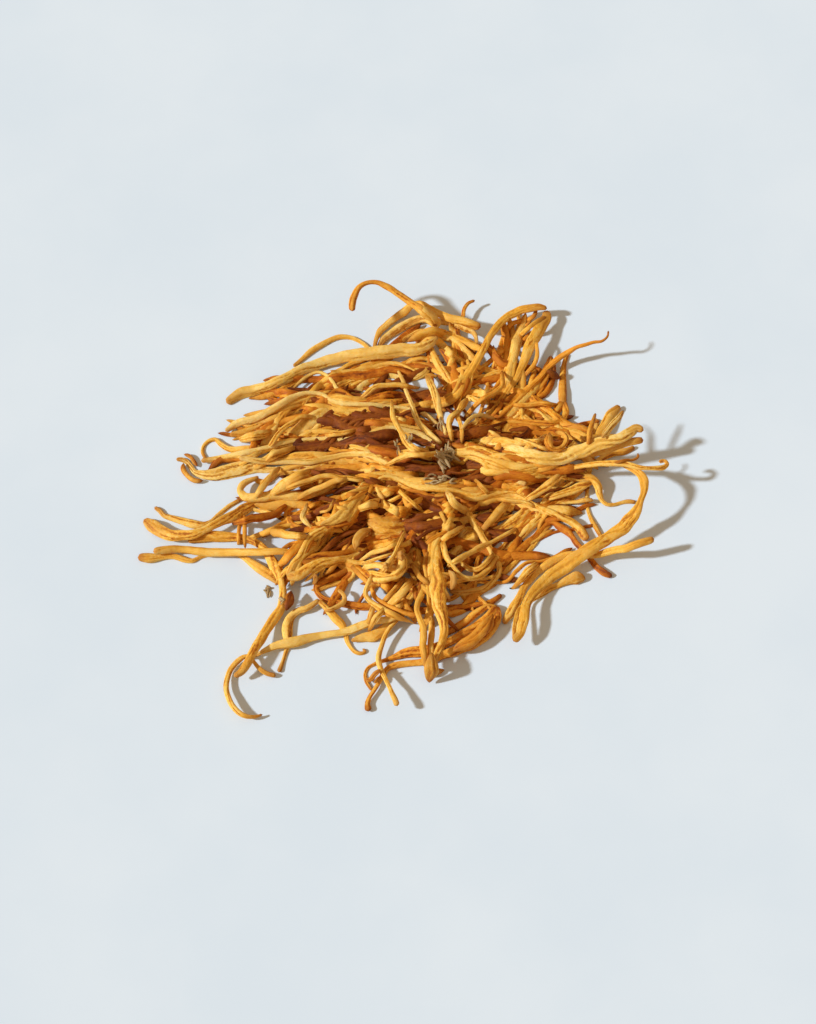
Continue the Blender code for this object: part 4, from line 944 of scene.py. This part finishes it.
def grow_small(name, entries):
    """One mesh for each tone of skin, with all the small pieces of that tone."""
    forms = {}
    for number, (tone, over, flat, route) in enumerate(entries):
        level = len(STACK) - 1 if over is None else STACK.index(over)
        under = None if over is None else np.minimum.reduce(NODE_DEPTHS[level + 1:])
        rows = lay(route, level, flat, under, tucked=number not in FREE_ENDS)
        grow_stalk(forms.setdefault(tone, new_form()), rows, name + str(number), furrows=3, depth=0.26,
                   twist=0.06, taper=2.5, step=0.5 * MILLIMETRE)
    for tone, form in forms.items():
        finish_piece(form, name + "_" + tone.split("_")[0], SKINS[tone])
    print(name, len(entries), "pieces in", len(forms), "tones")


grow_small("twigs", SMALL)

# %% [markdown]
# The root of the hook at the back is hidden in the picture. Its stalk is drawn on from there, leaning
# away from the camera, until it rests on the surface, so that the hook doesn't hang in the air.

# %% The hidden root of the hook
ROOT_LEAN = 0.6


def grow_root(node, tone):
    """A stalk that runs on from a node's inner end down to the surface."""
    line = np.array(LINES[node][0])
    others = np.vstack([rows[:, :3] for other in LINES if other != node for rows in LINES[other]])
    gaps = [np.linalg.norm(others - line[end, :3], axis=1).min() for end in (0, -1)]
    line = line if gaps[0] < gaps[1] else line[::-1]
    top, half, thick = line[0, :3], line[0, 3], line[0, 4]
    u, v, _ = seen_at(top[None, :])
    sight = sight_through(u, v)[0]
    reach = (top[2] - thick) / -sight[2]
    foot = top + sight * reach * np.array([ROOT_LEAN, ROOT_LEAN, 1.0])
    bend = (top + foot) / 2 + (top - line[1, :3]) * 2
    route = np.array([[*line[1, :3], half, thick], [*top, half, thick], [*bend, half, thick],
                      [*foot, half * 0.8, thick * 0.8]])
    form = new_form()
    grow_stalk(form, route, node + "_root", furrows=3, depth=0.2, taper=2.5, step=0.5 * MILLIMETRE)
    finish_piece(form, "hook_root", SKINS[tone])
    print("root of", node, "from", top.round(4), "to", foot.round(4))


grow_root("back_hook", GOLD)

# %% [markdown]
# A few tufts of the fungus's own grey mycelium still cling to the stalks: a fibrous knot on top of the
# clump and frayed remnants at the bases. A tuft is a handful of thin grey fibres that cross each other.

# %% Grey tufts
TUFTS = [
    (447, 457, 11, 12, 26, 2.6, 60), (446, 479, 9, 4, 8, 2.2, 10), (429, 480, 9, 4, 7, 1.9, 0),
    (268, 590, 5, 7, 9, 2.0, 70), (396, 446, 4, 7, 6, 1.8, 100), 
    (282, 600, 5, 5, 6, 1.9, 60), (441, 425, 5, 7, 6, 1.8, 70), (408, 438, 5, 6, 6, 1.8, 60),
]


def grow_tufts():
    """Crossing grey fibres round a few places."""
    rng = np.random.default_rng(5)
    form = new_form()
    for number, (u, v, wide, tall, count, thick, lean) in enumerate(TUFTS):
        for index in range(count):
            turn = math.radians(lean + rng.normal(0, 34))
            start = np.array([u + wide * rng.normal(0, 0.42), v + tall * rng.normal(0, 0.42)])
            way = np.array([math.cos(turn) * wide, math.sin(turn) * tall]) * rng.uniform(0.8, 1.5)
            bow = np.array([-way[1], way[0]]) * rng.uniform(-0.4, 0.4)
            route = [(*(start - way / 2), thick * 0.7), (*(start + bow / 2), thick * rng.uniform(0.8, 1.3)),
                     (*(start + way / 2), thick * 0.6)]
            rows = lay(route, len(STACK) - 1, 0.9, kept=False)
            grow_stalk(form, rows, f"tuft{number}_{index}", furrows=1, depth=0.2, taper=3, age=(0.0, 0.4),
                       step=0.4 * MILLIMETRE, sides=8)
    finish_piece(form, "grey_tufts", GREY_SKIN)
    print(sum(tuft[4] for tuft in TUFTS), "grey fibres")


grow_tufts()

# %% [markdown]
# The clump lies on a plain pale surface, under one cool white sun from the left. A warm even light
# from all round fills its shadows, as warm walls would.

# %% Floor and light
def plain_floor():
    """A wide flat surface just under the clump."""
    form = bmesh.new()
    bmesh.ops.create_grid(form, x_segments=1, y_segments=1, size=1.5)
    mesh = bpy.data.meshes.new("floor")
    form.to_mesh(mesh)
    form.free()
    floor = bpy.data.objects.new("floor", mesh)
    bpy.context.scene.collection.objects.link(floor)
    desk = NodeDesk("pale_surface")
    where = desk.add("ShaderNodeTexCoord").outputs["Object"]
    cloud = desk.noise(where, 14.0, detail=4.0)
    colour = desk.blend(desk.between(cloud, 0.3, 0.7), (0.69, 0.755, 0.82), (0.73, 0.785, 0.84))
    desk.fill(desk.shader, {"Base Color": colour, "Roughness": 0.92, "Specular IOR Level": 0.1})
    mesh.materials.append(desk.material)


def sun_light():
    """A cool white sun from the left, a little wide so that shadow edges are soft."""
    light = bpy.data.lights.new("sun", "SUN")
    light.energy = 4.15
    light.angle = math.radians(4.0)
    light.color = (0.80, 0.91, 1.0)
    sun = bpy.data.objects.new("sun", light)
    sun.rotation_mode = "QUATERNION"
    sun.rotation_quaternion = Vector((0.82, 0.144, -0.554)).to_track_quat("-Z", "Y")
    bpy.context.scene.collection.objects.link(sun)


def warm_room():
    """Even warm light from all round."""
    world = bpy.data.worlds.new("room")
    world.use_nodes = True
    sky = world.node_tree.nodes["Background"]
    sky.inputs["Color"].default_value = (1.0, 0.80, 0.58, 1.0)
    sky.inputs["Strength"].default_value = 0.45
    bpy.context.scene.world = world


plain_floor()
sun_light()
warm_room()
bpy.context.scene.view_settings.view_transform = "Standard"
print("floor, sun and room light are in place")
